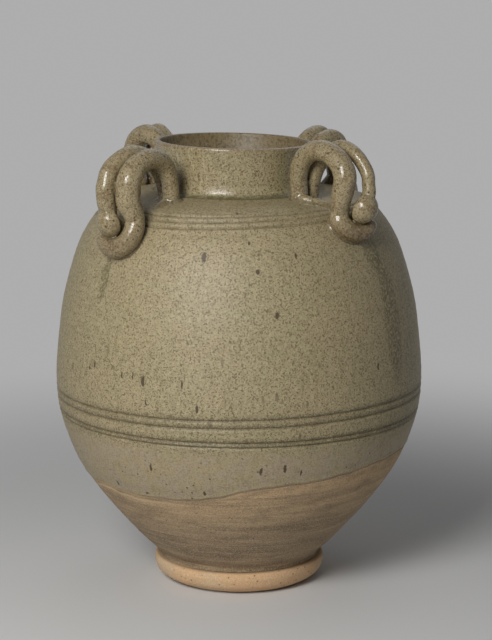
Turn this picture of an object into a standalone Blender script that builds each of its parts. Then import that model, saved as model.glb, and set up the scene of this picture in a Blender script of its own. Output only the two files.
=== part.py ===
"""Stoneware storage jar with four double loop handles.

The jar stands on the ground at the origin, +Z up, in metres. It is made of a turned foot, two
thrown halves luted at the belly, a short neck set a little off centre, and four handles. Each
handle is two rolled coils side by side: the hook strand arches over and curls under a clay knob,
and the knob strand ends under that knob.
"""
import math

import bmesh
import bpy
from mathutils import Matrix, Vector

# Facets
body_sides = 40
shoulder_rows = 5
side_rows = 9
lower_rows = 8
upper_inside_rows = 9
lower_inside_rows = 7
coil_sides = 10
cap_rings = 2
knob_sides = 12
knob_rings = 8
path_steps = 2
outline_steps = 16
halving_steps = 40

# Fit between neighbouring pieces
clearance = 0.0003

# Foot: a cushion-edged disc with a shallow recess underneath
foot_height = 0.0165
foot_radius = 0.0603
foot_land_radius = 0.0460
foot_recess_radius = 0.0330
foot_recess_depth = 0.0040
foot_edge_shares = [(0.03, 0.21), (0.15, 0.52), (0.36, 0.84), (0.67, 0.99), (0.85, 1.0), (0.955, 0.97),
                    (1.0, 0.89)]

# Thrown body
base_radius = 0.0565
base_flare_run = 0.0045
belly_radius = 0.1283
belly_height = 0.1450
shoulder_height = 0.2765
wall = 0.0070
floor_thickness = 0.0100

# Outline of each half as (share of its rise, share of its swell)
lower_outline_shares = [(0.0, 0.0), (0.03, 0.018), (0.103, 0.159), (0.26, 0.413), (0.415, 0.633),
                        (0.57, 0.807), (0.73, 0.919), (0.865, 0.979)]
upper_outline_shares = [(0.0, 1.0), (0.115, 0.992), (0.265, 0.963), (0.42, 0.922), (0.57, 0.851),
                        (0.72, 0.755), (0.815, 0.66), (0.89, 0.556), (0.932, 0.493), (0.962, 0.40),
                        (0.985, 0.22), (1.0, 0.0)]

# Grooves: three lines on the shoulder, and a pair on each side of the belly seam
groove_depth = 0.0006
groove_width = 0.0017
shoulder_groove_start = 0.0314
shoulder_groove_spacing = 0.00475
shoulder_groove_count = 3
shoulder_lean_share = 0.032
belly_seam_height = 0.1298
belly_groove_count = 2
upper_belly_groove_gap = 0.0061
upper_belly_groove_spacing = 0.0054
lower_belly_groove_gap = 0.0041
lower_belly_groove_spacing = 0.0031
belly_lean_share = 0.0133
groove_lean_angle = math.radians(45)

# Neck, with its axis off the body's axis and its rim dipping a little the other way
neck_height = 0.0332
neck_foot_radius = 0.0555
neck_waist_radius = 0.0526
rim_radius = 0.0548
neck_inner_radius = 0.0470
rim_inner_radius = 0.0510
neck_offset = 0.0033
neck_offset_angle = math.radians(225)
rim_dip = 0.0012
seat_margin = 0.0012
neck_outer_shares = [(0.0, 1.0, 0.0), (0.10, 0.25, 0.0), (0.34, 0.0, 0.0), (0.62, 0.0, 0.18),
                     (0.82, 0.0, 0.62), (0.935, 0.0, 1.0), (0.985, 0.0, 0.88)]
neck_inner_shares = [(1.0, 0.80), (0.985, 1.0), (0.85, 0.75), (0.68, 0.36), (0.35, 0.13), (0.0, 0.0)]

# Handle coils
hook_coil_radius = 0.0072
knob_coil_radius = 0.0060
slim_coil_radius = 0.0050
strand_spacing = 0.0145
knob_back_share = 0.40

# Low handle, as at the front left: places run down the shoulder from the neck seat
low_root = 0.0110
low_span = 0.0530
low_rise = 0.0325
low_knob_radius = 0.0092
low_knob_length = 0.0215

# High handle, as at the front right
high_root = 0.0040
high_span = 0.0510
high_rise = 0.0365
high_knob_radius = 0.0098
high_knob_length = 0.0212

# Back handles, which are narrower than the front ones
back_low_root = 0.0055
back_low_span = 0.0440
back_low_rise = 0.0308
back_high_root = 0.0060
back_high_span = 0.0410
back_high_rise = 0.0342

# Strand points as shares of (span along the shoulder, rise off it, strand spacing, coil radius)
low_hook_shares = [(-0.01, -0.14, 0.45, 0.90), (-0.02, 0.16, 0.45, 0.80), (-0.02, 0.41, 0.45, 0.80),
                   (0.015, 0.68, 0.48, 0.86), (0.10, 0.90, 0.52, 0.92), (0.24, 1.03, 0.55, 0.95),
                   (0.335, 1.03, 0.55, 1.03), (0.39, 0.96, 0.59, 1.12), (0.445, 0.81, 0.59, 1.16),
                   (0.495, 0.63, 0.62, 1.13), (0.54, 0.45, 0.69, 1.03), (0.625, 0.285, 0.72, 0.93),
                   (0.765, 0.195, 0.74, 0.95), (0.89, 0.165, 0.54, 0.96), (0.975, 0.17, 0.09, 0.95),
                   (0.98, 0.20, -0.44, 0.84), (0.935, 0.25, -0.76, 0.68)]
low_knob_strand_shares = [(-0.11, -0.14, -0.28, 0.93), (-0.115, 0.165, -0.31, 0.90),
                          (-0.07, 0.515, -0.34, 0.97), (0.06, 0.87, -0.38, 1.03),
                          (0.235, 1.09, -0.41, 1.05), (0.35, 1.13, -0.41, 1.06),
                          (0.425, 1.08, -0.45, 1.06), (0.48, 0.96, -0.45, 1.06),
                          (0.53, 0.78, -0.45, 1.05), (0.64, 0.60, -0.45, 1.0),
                          (0.715, 0.44, -0.45, 0.95), (0.725, 0.20, -0.50, 0.95),
                          (0.725, -0.14, -0.50, 0.95)]
low_knob_place_shares = (0.735, 0.425, -0.40)
low_knob_lean_shares = (0.62, -0.78)

high_hook_shares = [(0.02, -0.13, 0.48, 0.92), (-0.005, 0.15, 0.48, 0.83), (-0.03, 0.42, 0.52, 0.86),
                    (0.005, 0.685, 0.55, 0.92), (0.13, 0.915, 0.55, 0.94), (0.29, 1.035, 0.55, 0.97),
                    (0.425, 1.02, 0.55, 1.01), (0.505, 0.94, 0.55, 1.05), (0.55, 0.80, 0.59, 1.07),
                    (0.58, 0.60, 0.62, 1.04), (0.615, 0.415, 0.65, 0.97), (0.66, 0.21, 0.53, 0.92),
                    (0.76, 0.125, 0.50, 0.92), (0.885, 0.11, 0.20, 0.92), (0.95, 0.13, -0.25, 0.89),
                    (0.95, 0.185, -0.64, 0.80), (0.91, 0.24, -0.90, 0.66)]
high_knob_strand_shares = [(0.0, -0.13, -0.31, 1.10), (0.005, 0.175, -0.31, 1.05),
                           (0.055, 0.54, -0.34, 1.04), (0.18, 0.86, -0.38, 1.06),
                           (0.33, 1.085, -0.41, 1.02), (0.455, 1.10, -0.45, 0.97),
                           (0.53, 1.015, -0.48, 0.92), (0.595, 0.89, -0.48, 0.90),
                           (0.645, 0.745, -0.45, 0.92), (0.68, 0.59, -0.41, 1.0),
                           (0.745, 0.43, -0.41, 1.05), (0.745, 0.19, -0.60, 1.05),
                           (0.74, -0.13, -0.65, 1.05)]
high_knob_place_shares = (0.73, 0.51, -0.28)
high_knob_lean_shares = (0.55, -0.83)

# Colours as (red, green, blue), and roughness
glaze_colour = (0.27, 0.25, 0.17)
glaze_roughness = 0.25
clay_colour = (0.42, 0.29, 0.18)
clay_roughness = 0.85


def clear_scene():
    """Take every object out of the scene."""
    for item in list(bpy.data.objects):
        bpy.data.objects.remove(item, do_unlink=True)


def smooth_path(points, steps):
    """Points along a smooth curve through the given points, whatever their dimension."""
    size = len(points[0])
    before = [2 * points[0][axis] - points[1][axis] for axis in range(size)]
    after = [2 * points[-1][axis] - points[-2][axis] for axis in range(size)]
    line = [before, *points, after]
    curve = []
    for index in range(1, len(line) - 2):
        for step in range(steps):
            share = step / steps
            curve.append([bend(*[line[index + near][axis] for near in (-1, 0, 1, 2)], share)
                          for axis in range(size)])
    curve.append(list(points[-1]))
    return curve


def bend(first, second, third, fourth, share):
    """Catmull-Rom value between the second and third of four numbers."""
    slope = third - first
    square = 2 * first - 5 * second + 4 * third - fourth
    cube = 3 * second - first - 3 * third + fourth
    return (2 * second + slope * share + square * share ** 2 + cube * share ** 3) / 2


def spread(start, stop, count):
    """Evenly spaced values, both ends included."""
    return [start + (stop - start) * index / (count - 1) for index in range(count)]


class Outline:
    """The body's outer outline, measured by the distance run down it from the neck seat."""

    def __init__(self):
        seat_radius = neck_foot_radius + neck_offset + seat_margin
        base_height = foot_height + clearance
        points = [(seat_radius + swell * (belly_radius - seat_radius),
                   belly_height + rise * (shoulder_height - belly_height))
                  for rise, swell in reversed(upper_outline_shares)]
        points += [(base_radius + swell * (belly_radius - base_radius),
                    base_height + rise * (belly_height - base_height))
                   for rise, swell in reversed(lower_outline_shares)]
        self.points = smooth_path(points, outline_steps)
        self.arcs = [0.0]
        for here, there in zip(self.points, self.points[1:]):
            self.arcs.append(self.arcs[-1] + math.dist(here, there))
        self.length = self.arcs[-1]

    def at(self, arc):
        """Radius, height and outward direction (two numbers) at a distance down the outline."""
        if arc < 0:
            return self.points[0][0] + arc, self.points[0][1], 0.0, 1.0
        index = 1
        while index < len(self.arcs) - 1 and self.arcs[index] < arc:
            index += 1
        here, there = self.points[index - 1], self.points[index]
        run = self.arcs[index] - self.arcs[index - 1]
        share = (arc - self.arcs[index - 1]) / run
        across, down = there[0] - here[0], here[1] - there[1]
        return (here[0] + across * share, here[1] - down * share, down / run, across / run)

    def arc_at_height(self, height, depth=0.0):
        """Distance down the outline at which a surface set in by depth comes down to a height."""
        above, below = 0.0, self.length
        for step in range(halving_steps):
            middle = (above + below) / 2
            radius, level, out, up = self.at(middle)
            if level - depth * up > height:
                above = middle
            else:
                below = middle
        return below


outline = Outline()


def skin_row(arc, depth=0.0, lean_share=0.0):
    """Ring of the body's skin at a distance down the outline, set into the wall by depth.

    Where it leans, the ring slides up or down the outline by a share of its radius.
    """
    def place(angle):
        slide = lean_share * (outline.at(arc)[0] - depth) * math.cos(angle - groove_lean_angle)
        radius, height, out, up = outline.at(arc - slide)
        return radius - depth * out, height - depth * up
    return place


def lean_room(lean_share):
    """Space along the outline that a leaning groove takes above or below its middle."""
    return lean_share * belly_radius + groove_width


def flat_row(radius, height):
    """Level ring of one radius."""
    def place(angle):
        return radius, height
    return place


def groove_rows(arc, depth, proud, lean_share=0.0):
    """Three rings of one groove."""
    half = groove_width / 2
    return [skin_row(arc - half, -proud, lean_share), skin_row(arc, depth - proud, lean_share),
            skin_row(arc + half, -proud, lean_share)]


def upper_skin(proud=0.0):
    """Outer rings of the upper body, from the seat edge down to the seam."""
    depth = 0.0 if proud else groove_depth
    grooves = [shoulder_groove_start + index * shoulder_groove_spacing
               for index in range(shoulder_groove_count)]
    seam = outline.arc_at_height(belly_seam_height)
    band = [seam - upper_belly_groove_gap - index * upper_belly_groove_spacing
            for index in reversed(range(belly_groove_count))]
    first, last = grooves[0] - lean_room(shoulder_lean_share), grooves[-1] + lean_room(shoulder_lean_share)
    rows = [skin_row(arc, -proud) for arc in spread(0, first, shoulder_rows)]
    for arc in grooves:
        rows += groove_rows(arc, depth, proud, shoulder_lean_share)
    rows += [skin_row(arc, -proud)
             for arc in spread(last, band[0] - lean_room(belly_lean_share), side_rows)]
    for arc in band:
        rows += groove_rows(arc, depth, proud, belly_lean_share)
    rows.append(skin_row(seam - clearance / 2, -proud))
    return rows


def lower_skin():
    """Outer rings of the lower body, from the seam down to the foot."""
    seam = outline.arc_at_height(belly_seam_height)
    band = [seam + lower_belly_groove_gap + index * lower_belly_groove_spacing
            for index in range(belly_groove_count)]
    rows = [skin_row(seam + clearance / 2)]
    for arc in band:
        rows += groove_rows(arc, groove_depth, 0.0)
    rows += [skin_row(arc)
             for arc in spread(band[-1] + 2 * groove_width, outline.length - base_flare_run, lower_rows)]
    rows.append(skin_row(outline.length))
    return rows


def turned_mesh(name, rows, first_pole=None, last_pole=None):
    """Closed mesh of rings around the axis. Poles are heights; without them the rings meet."""
    shape = bmesh.new()
    rings = []
    for place in rows:
        ring = []
        for side in range(body_sides):
            angle = math.tau * side / body_sides
            radius, height = place(angle)
            ring.append(shape.verts.new((radius * math.cos(angle), radius * math.sin(angle), height)))
        rings.append(ring)
    for upper, lower in zip(rings, rings[1:]):
        join_rings(shape, upper, lower)
    if first_pole is None:
        join_rings(shape, rings[-1], rings[0])
    else:
        close_ring(shape, rings[0], (0, 0, first_pole))
        close_ring(shape, rings[-1], (0, 0, last_pole))
    return finished_mesh(shape, name)


def join_rings(shape, upper, lower):
    """Band of faces between two rings."""
    for side in range(len(upper)):
        follow = (side + 1) % len(upper)
        shape.faces.new((upper[side], lower[side], lower[follow], upper[follow]))


def close_ring(shape, ring, place):
    """Fan of faces from a ring to a point."""
    tip = shape.verts.new(place)
    for side in range(len(ring)):
        shape.faces.new((ring[side], ring[(side + 1) % len(ring)], tip))


def finished_mesh(shape, name):
    """Mesh with its faces outward and its round surfaces shaded smooth."""
    bmesh.ops.recalc_face_normals(shape, faces=shape.faces)
    mesh = bpy.data.meshes.new(name)
    shape.to_mesh(mesh)
    shape.free()
    mesh.shade_smooth()
    mesh.set_sharp_from_angle(angle=math.radians(50))
    return mesh


def surface(name, colour, roughness):
    """Material of one sub-part."""
    material = bpy.data.materials.new(name)
    material.use_nodes = True
    shader = material.node_tree.nodes["Principled BSDF"]
    shader.inputs["Base Color"].default_value = (*colour, 1.0)
    shader.inputs["Roughness"].default_value = roughness
    shader.inputs["Metallic"].default_value = 0.0
    return material


def glazed(name):
    """Olive glaze of one sub-part."""
    return surface(name + "_glaze", glaze_colour, glaze_roughness)


def placed(name, mesh, material, location=(0, 0, 0)):
    """Object of one sub-part in the scene."""
    item = bpy.data.objects.new(name, mesh)
    item.location = location
    if material:
        item.data.materials.append(material)
    bpy.context.collection.objects.link(item)
    return item


def cutter(name, mesh):
    """Guide body that shapes its neighbours and isn't part of the jar."""
    item = placed(name, mesh, None)
    item.hide_render = True
    item.display_type = "WIRE"
    return item


def cut(item, *tools):
    """Take the tools' space out of a piece."""
    for tool in tools:
        modifier = item.modifiers.new("cut_" + tool.name, "BOOLEAN")
        modifier.operation = "DIFFERENCE"
        modifier.solver = "EXACT"
        modifier.object = tool


def make_foot():
    """Turned foot disc with its cushion edge and the recess underneath."""
    rows = [flat_row(foot_recess_radius, foot_recess_depth),
            flat_row(foot_recess_radius + foot_recess_depth, 0),
            flat_row(foot_land_radius, 0)]
    for rise, bulge in foot_edge_shares:
        rows.append(flat_row(foot_land_radius + bulge * (foot_radius - foot_land_radius),
                             rise * foot_height))
    mesh = turned_mesh("foot", rows, foot_recess_depth, foot_height)
    return placed("foot", mesh, surface("foot_clay", clay_colour, clay_roughness))


def make_lower_body():
    """Thrown lower half: outside, underside, floor and inside."""
    floor_height = foot_height + clearance + floor_thickness
    seam = outline.arc_at_height(belly_seam_height)
    low = outline.arc_at_height(floor_height, wall)
    inside = [skin_row(arc, wall) for arc in spread(low, seam + clearance / 2, lower_inside_rows)]
    rows = lower_skin()[::-1] + inside[::-1]
    mesh = turned_mesh("lower_body", rows, foot_height + clearance, floor_height)
    return placed("lower_body", mesh, glazed("lower_body"))


def make_upper_body():
    """Thrown upper half: outside, flat seat, mouth hole and inside."""
    seam = outline.arc_at_height(belly_seam_height)
    hole_radius = neck_inner_radius - neck_offset
    hole = [flat_row(hole_radius, shoulder_height - wall), flat_row(hole_radius, shoulder_height)]
    inside = [skin_row(arc, wall) for arc in spread(seam - clearance / 2, 0, upper_inside_rows)]
    mesh = turned_mesh("upper_body", upper_skin() + inside + hole)
    return placed("upper_body", mesh, glazed("upper_body"))


def neck_row(rise, radius):
    """Ring of the neck, dipped in proportion to its height."""
    def place(angle):
        dip = rim_dip * rise * radius / rim_radius
        return radius, rise * neck_height - dip * math.cos(angle - groove_lean_angle)
    return place


def make_neck():
    """Short neck with its flared foot and thin everted lip."""
    flare = neck_foot_radius - neck_waist_radius
    lip = rim_radius - neck_waist_radius
    rows = [neck_row(rise, neck_waist_radius + foot * flare + spring * lip)
            for rise, foot, spring in neck_outer_shares]
    opening = rim_inner_radius - neck_inner_radius
    rows += [neck_row(rise, neck_inner_radius + share * opening) for rise, share in neck_inner_shares]
    mesh = turned_mesh("neck", rows)
    place = (neck_offset * math.cos(neck_offset_angle), neck_offset * math.sin(neck_offset_angle),
             shoulder_height + clearance)
    return placed("neck", mesh, glazed("neck"), place)


def make_shoulder_cutter():
    """Body of the whole upper half, swollen by the clearance, that seats the handles."""
    rows = upper_skin(clearance)
    return cutter("shoulder_cutter",
                  turned_mesh("shoulder_cutter", rows, shoulder_height + clearance, belly_seam_height))


class HandleFrame:
    """Place of one handle: its direction round the jar and the side its hook strand is on."""

    def __init__(self, direction, hook_side):
        self.outward = Vector((math.cos(direction), math.sin(direction), 0))
        self.across = Vector((-math.sin(direction), math.cos(direction), 0)) * hook_side
        self.upward = Vector((0, 0, 1))

    def lift(self, arc):
        """Direction straight off the shoulder."""
        radius, height, out, up = outline.at(arc)
        return self.outward * out + self.upward * up

    def run(self, arc):
        """Direction down the shoulder."""
        radius, height, out, up = outline.at(arc)
        return self.outward * up - self.upward * out

    def place(self, arc, height, offset):
        """World point at a place down the shoulder, a height off it and a sideways offset."""
        radius, level, out, up = outline.at(arc)
        foot = self.outward * radius + self.upward * level
        return foot + self.lift(arc) * height + self.across * offset


def strand_line(frame, shares, root, span, rise, coil_radius):
    """Centre points and radii along one strand."""
    rows = [(root + along * span, up * rise, side * strand_spacing, thick * coil_radius)
            for along, up, side, thick in shares]
    line = smooth_path(rows, path_steps)
    return [(frame.place(arc, height, offset), radius) for arc, height, offset, radius in line]


def coil_mesh(name, line, swell=0.0):
    """Rolled coil of varying thickness along a line, with rounded ends."""
    shape = bmesh.new()
    centres = [centre for centre, radius in line]
    normal = (centres[1] - centres[0]).orthogonal().normalized()
    rings = []
    for index, (centre, radius) in enumerate(line):
        ahead = centres[min(index + 1, len(line) - 1)] - centres[max(index - 1, 0)]
        tangent = ahead.normalized()
        normal = (normal - tangent * normal.dot(tangent)).normalized()
        size = radius + swell
        if index == 0:
            rings += [coil_ring(shape, centre, tangent, normal, size, -cap_rings + step)
                      for step in range(cap_rings)]
            start_tip = centre - tangent * size
        rings.append(coil_ring(shape, centre, tangent, normal, size, 0))
        if index == len(line) - 1:
            rings += [coil_ring(shape, centre, tangent, normal, size, step + 1)
                      for step in range(cap_rings)]
            end_tip = centre + tangent * size
    for upper, lower in zip(rings, rings[1:]):
        join_rings(shape, upper, lower)
    close_ring(shape, rings[0], start_tip)
    close_ring(shape, rings[-1], end_tip)
    return finished_mesh(shape, name)


def coil_ring(shape, centre, tangent, normal, size, step):
    """Ring square to the coil; a step other than zero is a ring of the rounded end."""
    binormal = tangent.cross(normal)
    turn = math.pi / 2 * step / (cap_rings + 1)
    middle = centre + tangent * size * math.sin(turn)
    radius = size * math.cos(turn)
    angles = [math.tau * side / coil_sides for side in range(coil_sides)]
    return [shape.verts.new(middle + (normal * math.cos(angle) + binormal * math.sin(angle)) * radius)
            for angle in angles]


def knob_mesh(name, frame, place, lean, radius, length, swell=0.0):
    """Ball of clay, longer along the strand than across it and flattened where it sits on it."""
    arc, height, offset = place
    run, lift = frame.run(arc), frame.lift(arc)
    along = (run * lean[0] + lift * lean[1]).normalized()
    out = (lift * lean[0] - run * lean[1]).normalized()
    shape = bmesh.new()
    bmesh.ops.create_uvsphere(shape, u_segments=knob_sides, v_segments=knob_rings, radius=1)
    for vert in shape.verts:
        if vert.co.z < 0:
            vert.co.z *= knob_back_share
    turn = Matrix((along, frame.across, out)).transposed().to_4x4()
    sizes = Matrix.Diagonal((length / 2 + swell, radius + swell, radius + swell, 1))
    place = Matrix.Translation(frame.place(arc, height, offset)) @ turn @ sizes
    bmesh.ops.transform(shape, matrix=place, verts=shape.verts)
    return finished_mesh(shape, name)


def make_handle(name, direction, hook_side, form, shoulder):
    """Two strands and a knob, each seated on what carries it."""
    frame = HandleFrame(direction, hook_side)
    reach = (form["root"], form["span"], form["rise"])
    hook_line = strand_line(frame, form["hook"], *reach, hook_coil_radius)
    knob_line = strand_line(frame, form["knob_strand"], *reach, form["knob_coil"])
    along, up, side = form["knob_place"]
    knob = (frame, (form["root"] + along * form["span"], up * form["rise"], side * strand_spacing),
            form["knob_lean"], form["knob_radius"], form["knob_length"])

    strand_cutter = cutter(name + "_strand_cutter",
                           coil_mesh(name + "_strand_cutter", knob_line, clearance))
    knob_cutter = cutter(name + "_knob_cutter", knob_mesh(name + "_knob_cutter", *knob, clearance))

    strand = name + "_knob_strand"
    cut(placed(strand, coil_mesh(strand, knob_line), glazed(strand)), shoulder)
    ball = name + "_knob"
    cut(placed(ball, knob_mesh(ball, *knob), glazed(ball)), strand_cutter)
    hook = name + "_hook_strand"
    cut(placed(hook, coil_mesh(hook, hook_line), glazed(hook)), shoulder, strand_cutter, knob_cutter)


def handle_forms():
    """Sizes of the low and the high handle."""
    low = {"root": low_root, "span": low_span, "rise": low_rise, "knob_coil": knob_coil_radius,
           "hook": low_hook_shares, "knob_strand": low_knob_strand_shares,
           "knob_place": low_knob_place_shares, "knob_lean": low_knob_lean_shares,
           "knob_radius": low_knob_radius, "knob_length": low_knob_length}
    high = {"root": high_root, "span": high_span, "rise": high_rise, "knob_coil": slim_coil_radius,
            "hook": high_hook_shares, "knob_strand": high_knob_strand_shares,
            "knob_place": high_knob_place_shares, "knob_lean": high_knob_lean_shares,
            "knob_radius": high_knob_radius, "knob_length": high_knob_length}
    return low, high


def make_handles():
    """Four handles a quarter turn apart, high and low by turns."""
    shoulder = make_shoulder_cutter()
    low, high = handle_forms()
    quarter = math.pi / 2
    back_low = dict(low, root=back_low_root, span=back_low_span, rise=back_low_rise)
    back_high = dict(high, root=back_high_root, span=back_high_span, rise=back_high_rise)
    make_handle("front_right", 0, -1, high, shoulder)
    make_handle("back_right", quarter, -1, back_low, shoulder)
    make_handle("back_left", 2 * quarter, 1, back_high, shoulder)
    make_handle("front_left", 3 * quarter, 1, low, shoulder)


clear_scene()
make_foot()
make_lower_body()
make_upper_body()
make_neck()
make_handles()
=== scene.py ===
"""Looks of a glazed stoneware jar with four double loop handles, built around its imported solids.

Each Operator makes one piece, or a group of like pieces, and main calls them in order. Lengths are in
metres. Angles round the jar are measured from the side that faces the camera, positive to its right.
"""
import math

import bmesh
import bpy
import numpy as np
from bpy.props import FloatProperty, FloatVectorProperty, IntProperty, PointerProperty
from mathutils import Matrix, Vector, noise


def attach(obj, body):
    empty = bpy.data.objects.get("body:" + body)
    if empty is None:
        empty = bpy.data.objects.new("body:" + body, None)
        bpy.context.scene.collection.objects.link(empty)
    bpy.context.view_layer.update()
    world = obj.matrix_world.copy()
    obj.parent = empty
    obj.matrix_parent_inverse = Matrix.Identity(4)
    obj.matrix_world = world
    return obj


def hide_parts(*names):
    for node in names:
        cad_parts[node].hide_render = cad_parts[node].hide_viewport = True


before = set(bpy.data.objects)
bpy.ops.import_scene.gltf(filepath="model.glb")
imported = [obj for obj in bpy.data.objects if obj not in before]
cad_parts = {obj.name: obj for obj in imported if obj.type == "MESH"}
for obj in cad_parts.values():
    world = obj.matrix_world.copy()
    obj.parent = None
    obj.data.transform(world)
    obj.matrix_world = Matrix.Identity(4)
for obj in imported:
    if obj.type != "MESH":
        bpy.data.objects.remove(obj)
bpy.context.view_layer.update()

bl_info = {
    "name": "Stoneware Jar",
    "version": (1, 0, 0),
    "blender": (4, 5, 0),
    "location": "View3D > Sidebar > Jar",
    "description": "Glazed stoneware jar with double loop handles, its clay, glaze and studio",
    "category": "Add Mesh",
}

# The jar's sizes, as in its solids
CLEARANCE = 0.0003
FOOT_HEIGHT = 0.0165
FOOT_RADIUS = 0.0603
FOOT_LAND_RADIUS = 0.0460
FOOT_RECESS_RADIUS = 0.0330
FOOT_RECESS_DEPTH = 0.0040
FOOT_EDGE = [(0.0, 0.0), (0.03, 0.21), (0.15, 0.52), (0.36, 0.84), (0.67, 0.99), (0.85, 1.0),
             (0.955, 0.97), (1.0, 0.89)]
# Underside of the foot: (radius, height)
FOOT_UNDERSIDE = [(0.0, FOOT_RECESS_DEPTH), (0.018, FOOT_RECESS_DEPTH - 0.0002),
                  (FOOT_RECESS_RADIUS - 0.001, FOOT_RECESS_DEPTH - 0.0001),
                  (FOOT_RECESS_RADIUS + 0.0012, 0.0026), (FOOT_RECESS_RADIUS + 0.0036, 0.0003),
                  (FOOT_RECESS_RADIUS + 0.0052, 0.0)]
BASE_RADIUS = 0.0565
BELLY_RADIUS = 0.1283
BELLY_HEIGHT = 0.1450
SHOULDER_HEIGHT = 0.2765
WALL = 0.0070
FLOOR_THICKNESS = 0.0100
# Round from the wall to the floor inside: (distance in from the wall, height over the floor)
FLOOR_CORNER = [(0.0028, 0.004), (0.0075, 0.0008), (0.016, 0.0), (0.032, 0.0)]
FLOOR_CORNER_TOP = 0.010
LOWER_OUTLINE = [(0.0, 0.0), (0.03, 0.018), (0.103, 0.159), (0.26, 0.413), (0.415, 0.633), (0.57, 0.807),
                 (0.73, 0.919), (0.865, 0.979)]
UPPER_OUTLINE = [(0.0, 1.0), (0.115, 0.992), (0.265, 0.963), (0.42, 0.922), (0.57, 0.851), (0.72, 0.755),
                 (0.815, 0.66), (0.89, 0.556), (0.932, 0.493), (0.962, 0.40), (0.985, 0.22), (1.0, 0.0)]
GROOVE_DEPTH = 0.0009
GROOVE_SOFTNESS = 0.0008
# Soft lips beside a groove, and the zone over it where the glaze pools
LIP_PLACE = 0.0021
LIP_SOFTNESS = 0.0007
LIP_HEIGHT = 0.00018
POOL_PLACE = 0.0012
POOL_REACH = 0.0022
# Grooves: distances down the skin from the neck's seat, and from the belly seam upward and downward
SHOULDER_GROOVES = (0.0314, 0.03615, 0.0409)
UPPER_BELLY_GROOVES = (0.0061, 0.0115)
LOWER_BELLY_GROOVES = (0.0041, 0.0072)
BELLY_SEAM_HEIGHT = 0.1298
# How far the grooves slide down on their low side, as shares of the radius
SHOULDER_LEAN_SHARE = 0.032
BELLY_LEAN_SHARE = 0.0133
# Distances from the seat over which the first gives way to the second, and over which they die out at
# the seat and at the seam
LEAN_CHANGE = (0.045, 0.120)
LEAN_FADES = (0.028, 0.0045)
NECK_HEIGHT = 0.0332
NECK_FOOT_RADIUS = 0.0555
NECK_WAIST_RADIUS = 0.0526
RIM_RADIUS = 0.0548
NECK_INNER_RADIUS = 0.0470
RIM_INNER_RADIUS = 0.0510
NECK_OFFSET = 0.0033
RIM_DIP = 0.0012
SEAT_MARGIN = 0.0012
# Rows of the flat seat, (radius, share of the neck's offset), and radii of the rows of the flat base
SEAT_ROWS = [(0.052, 0.8), (0.056, 0.4)]
BASE_ROWS = (0.0, 0.025, 0.050)
# Neck rows as shares of (rise, foot flare, lip)
NECK_OUTSIDE = [(-0.012, 1.40, 0.0), (0.012, 0.92, 0.0), (0.045, 0.55, 0.0), (0.10, 0.25, 0.0),
                (0.20, 0.06, 0.0), (0.34, 0.0, 0.0), (0.62, 0.0, 0.18), (0.82, 0.0, 0.62),
                (0.915, 0.0, 0.95), (0.955, 0.0, 1.0), (0.985, 0.0, 0.86), (0.998, 0.0, 0.45)]
NECK_INSIDE = [(1.0, 1.55), (0.998, 1.15), (0.975, 0.93), (0.85, 0.75), (0.68, 0.36), (0.35, 0.13),
               (0.0, 0.0), (-0.012, 0.0)]

# Rings of the potter's fingers, as sine waves along the skin: (rate, strength, start)
THROWING_WAVES = [(690, 1.0, 1.3), (1130, 0.7, 0.4), (405, 0.5, 0.0)]
THROWING_DEPTH = 0.00008

# World directions: the camera's side of the jar, the side where the grooves rise, the neck's side
VIEW_TURN = math.radians(-45)
LEAN_ANGLE = math.radians(45)
NECK_ANGLE = math.radians(225)
DIAGONAL = math.sqrt(0.5)

# Camera: its distance and height, the height and the sideways place that it faces, and its lens and
# sensor in millimetres
CAMERA_DISTANCE = 1.4600
CAMERA_HEIGHT = 0.4655
CAMERA_LEVEL = 0.1837
CAMERA_PAN = 0.00493
CAMERA_LENS = 119.18
CAMERA_SENSOR = 36.0

# Lamps: (place to the right, away and up as the camera sees the jar, width, colour)
LAMPS = {
    "key": ((-0.40, -0.95, 0.72), 0.42, (1.0, 0.99, 0.97)),
    "fill": ((-1.30, -0.30, 0.60), 0.90, (1.0, 1.0, 1.0)),
    "back": ((0.30, 1.20, 1.60), 1.40, (1.0, 1.0, 1.0)),
}
LIT_HEIGHT = 0.16

# Strand points as shares of (span down the shoulder, rise off it, strand spacing, coil radius)
STRAND_SPACING = 0.0145
LOW_HOOK = [(-0.01, -0.14, 0.45, 0.90), (-0.02, 0.16, 0.45, 0.80), (-0.02, 0.41, 0.45, 0.80),
            (0.015, 0.68, 0.48, 0.86), (0.10, 0.90, 0.52, 0.92), (0.24, 1.03, 0.55, 0.95),
            (0.335, 1.03, 0.55, 1.03), (0.39, 0.96, 0.58, 1.13), (0.445, 0.81, 0.57, 1.17),
            (0.495, 0.63, 0.60, 1.14), (0.54, 0.45, 0.68, 1.04), (0.625, 0.285, 0.72, 0.93),
            (0.765, 0.195, 0.74, 0.95), (0.89, 0.165, 0.54, 0.96), (0.975, 0.17, 0.09, 0.95),
            (0.98, 0.20, -0.44, 0.84), (0.935, 0.25, -0.76, 0.68)]
LOW_KNOB_STRAND = [(-0.11, -0.14, -0.28, 0.93), (-0.115, 0.165, -0.31, 0.9), (-0.07, 0.515, -0.34, 0.97),
                   (0.06, 0.87, -0.38, 1.03), (0.235, 1.09, -0.41, 1.05), (0.35, 1.13, -0.41, 1.06),
                   (0.425, 1.08, -0.44, 1.06), (0.48, 0.96, -0.42, 1.07), (0.53, 0.78, -0.42, 1.07),
                   (0.64, 0.60, -0.45, 1.0), (0.715, 0.44, -0.45, 0.95), (0.725, 0.20, -0.50, 0.95),
                   (0.725, -0.14, -0.50, 0.95)]
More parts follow.
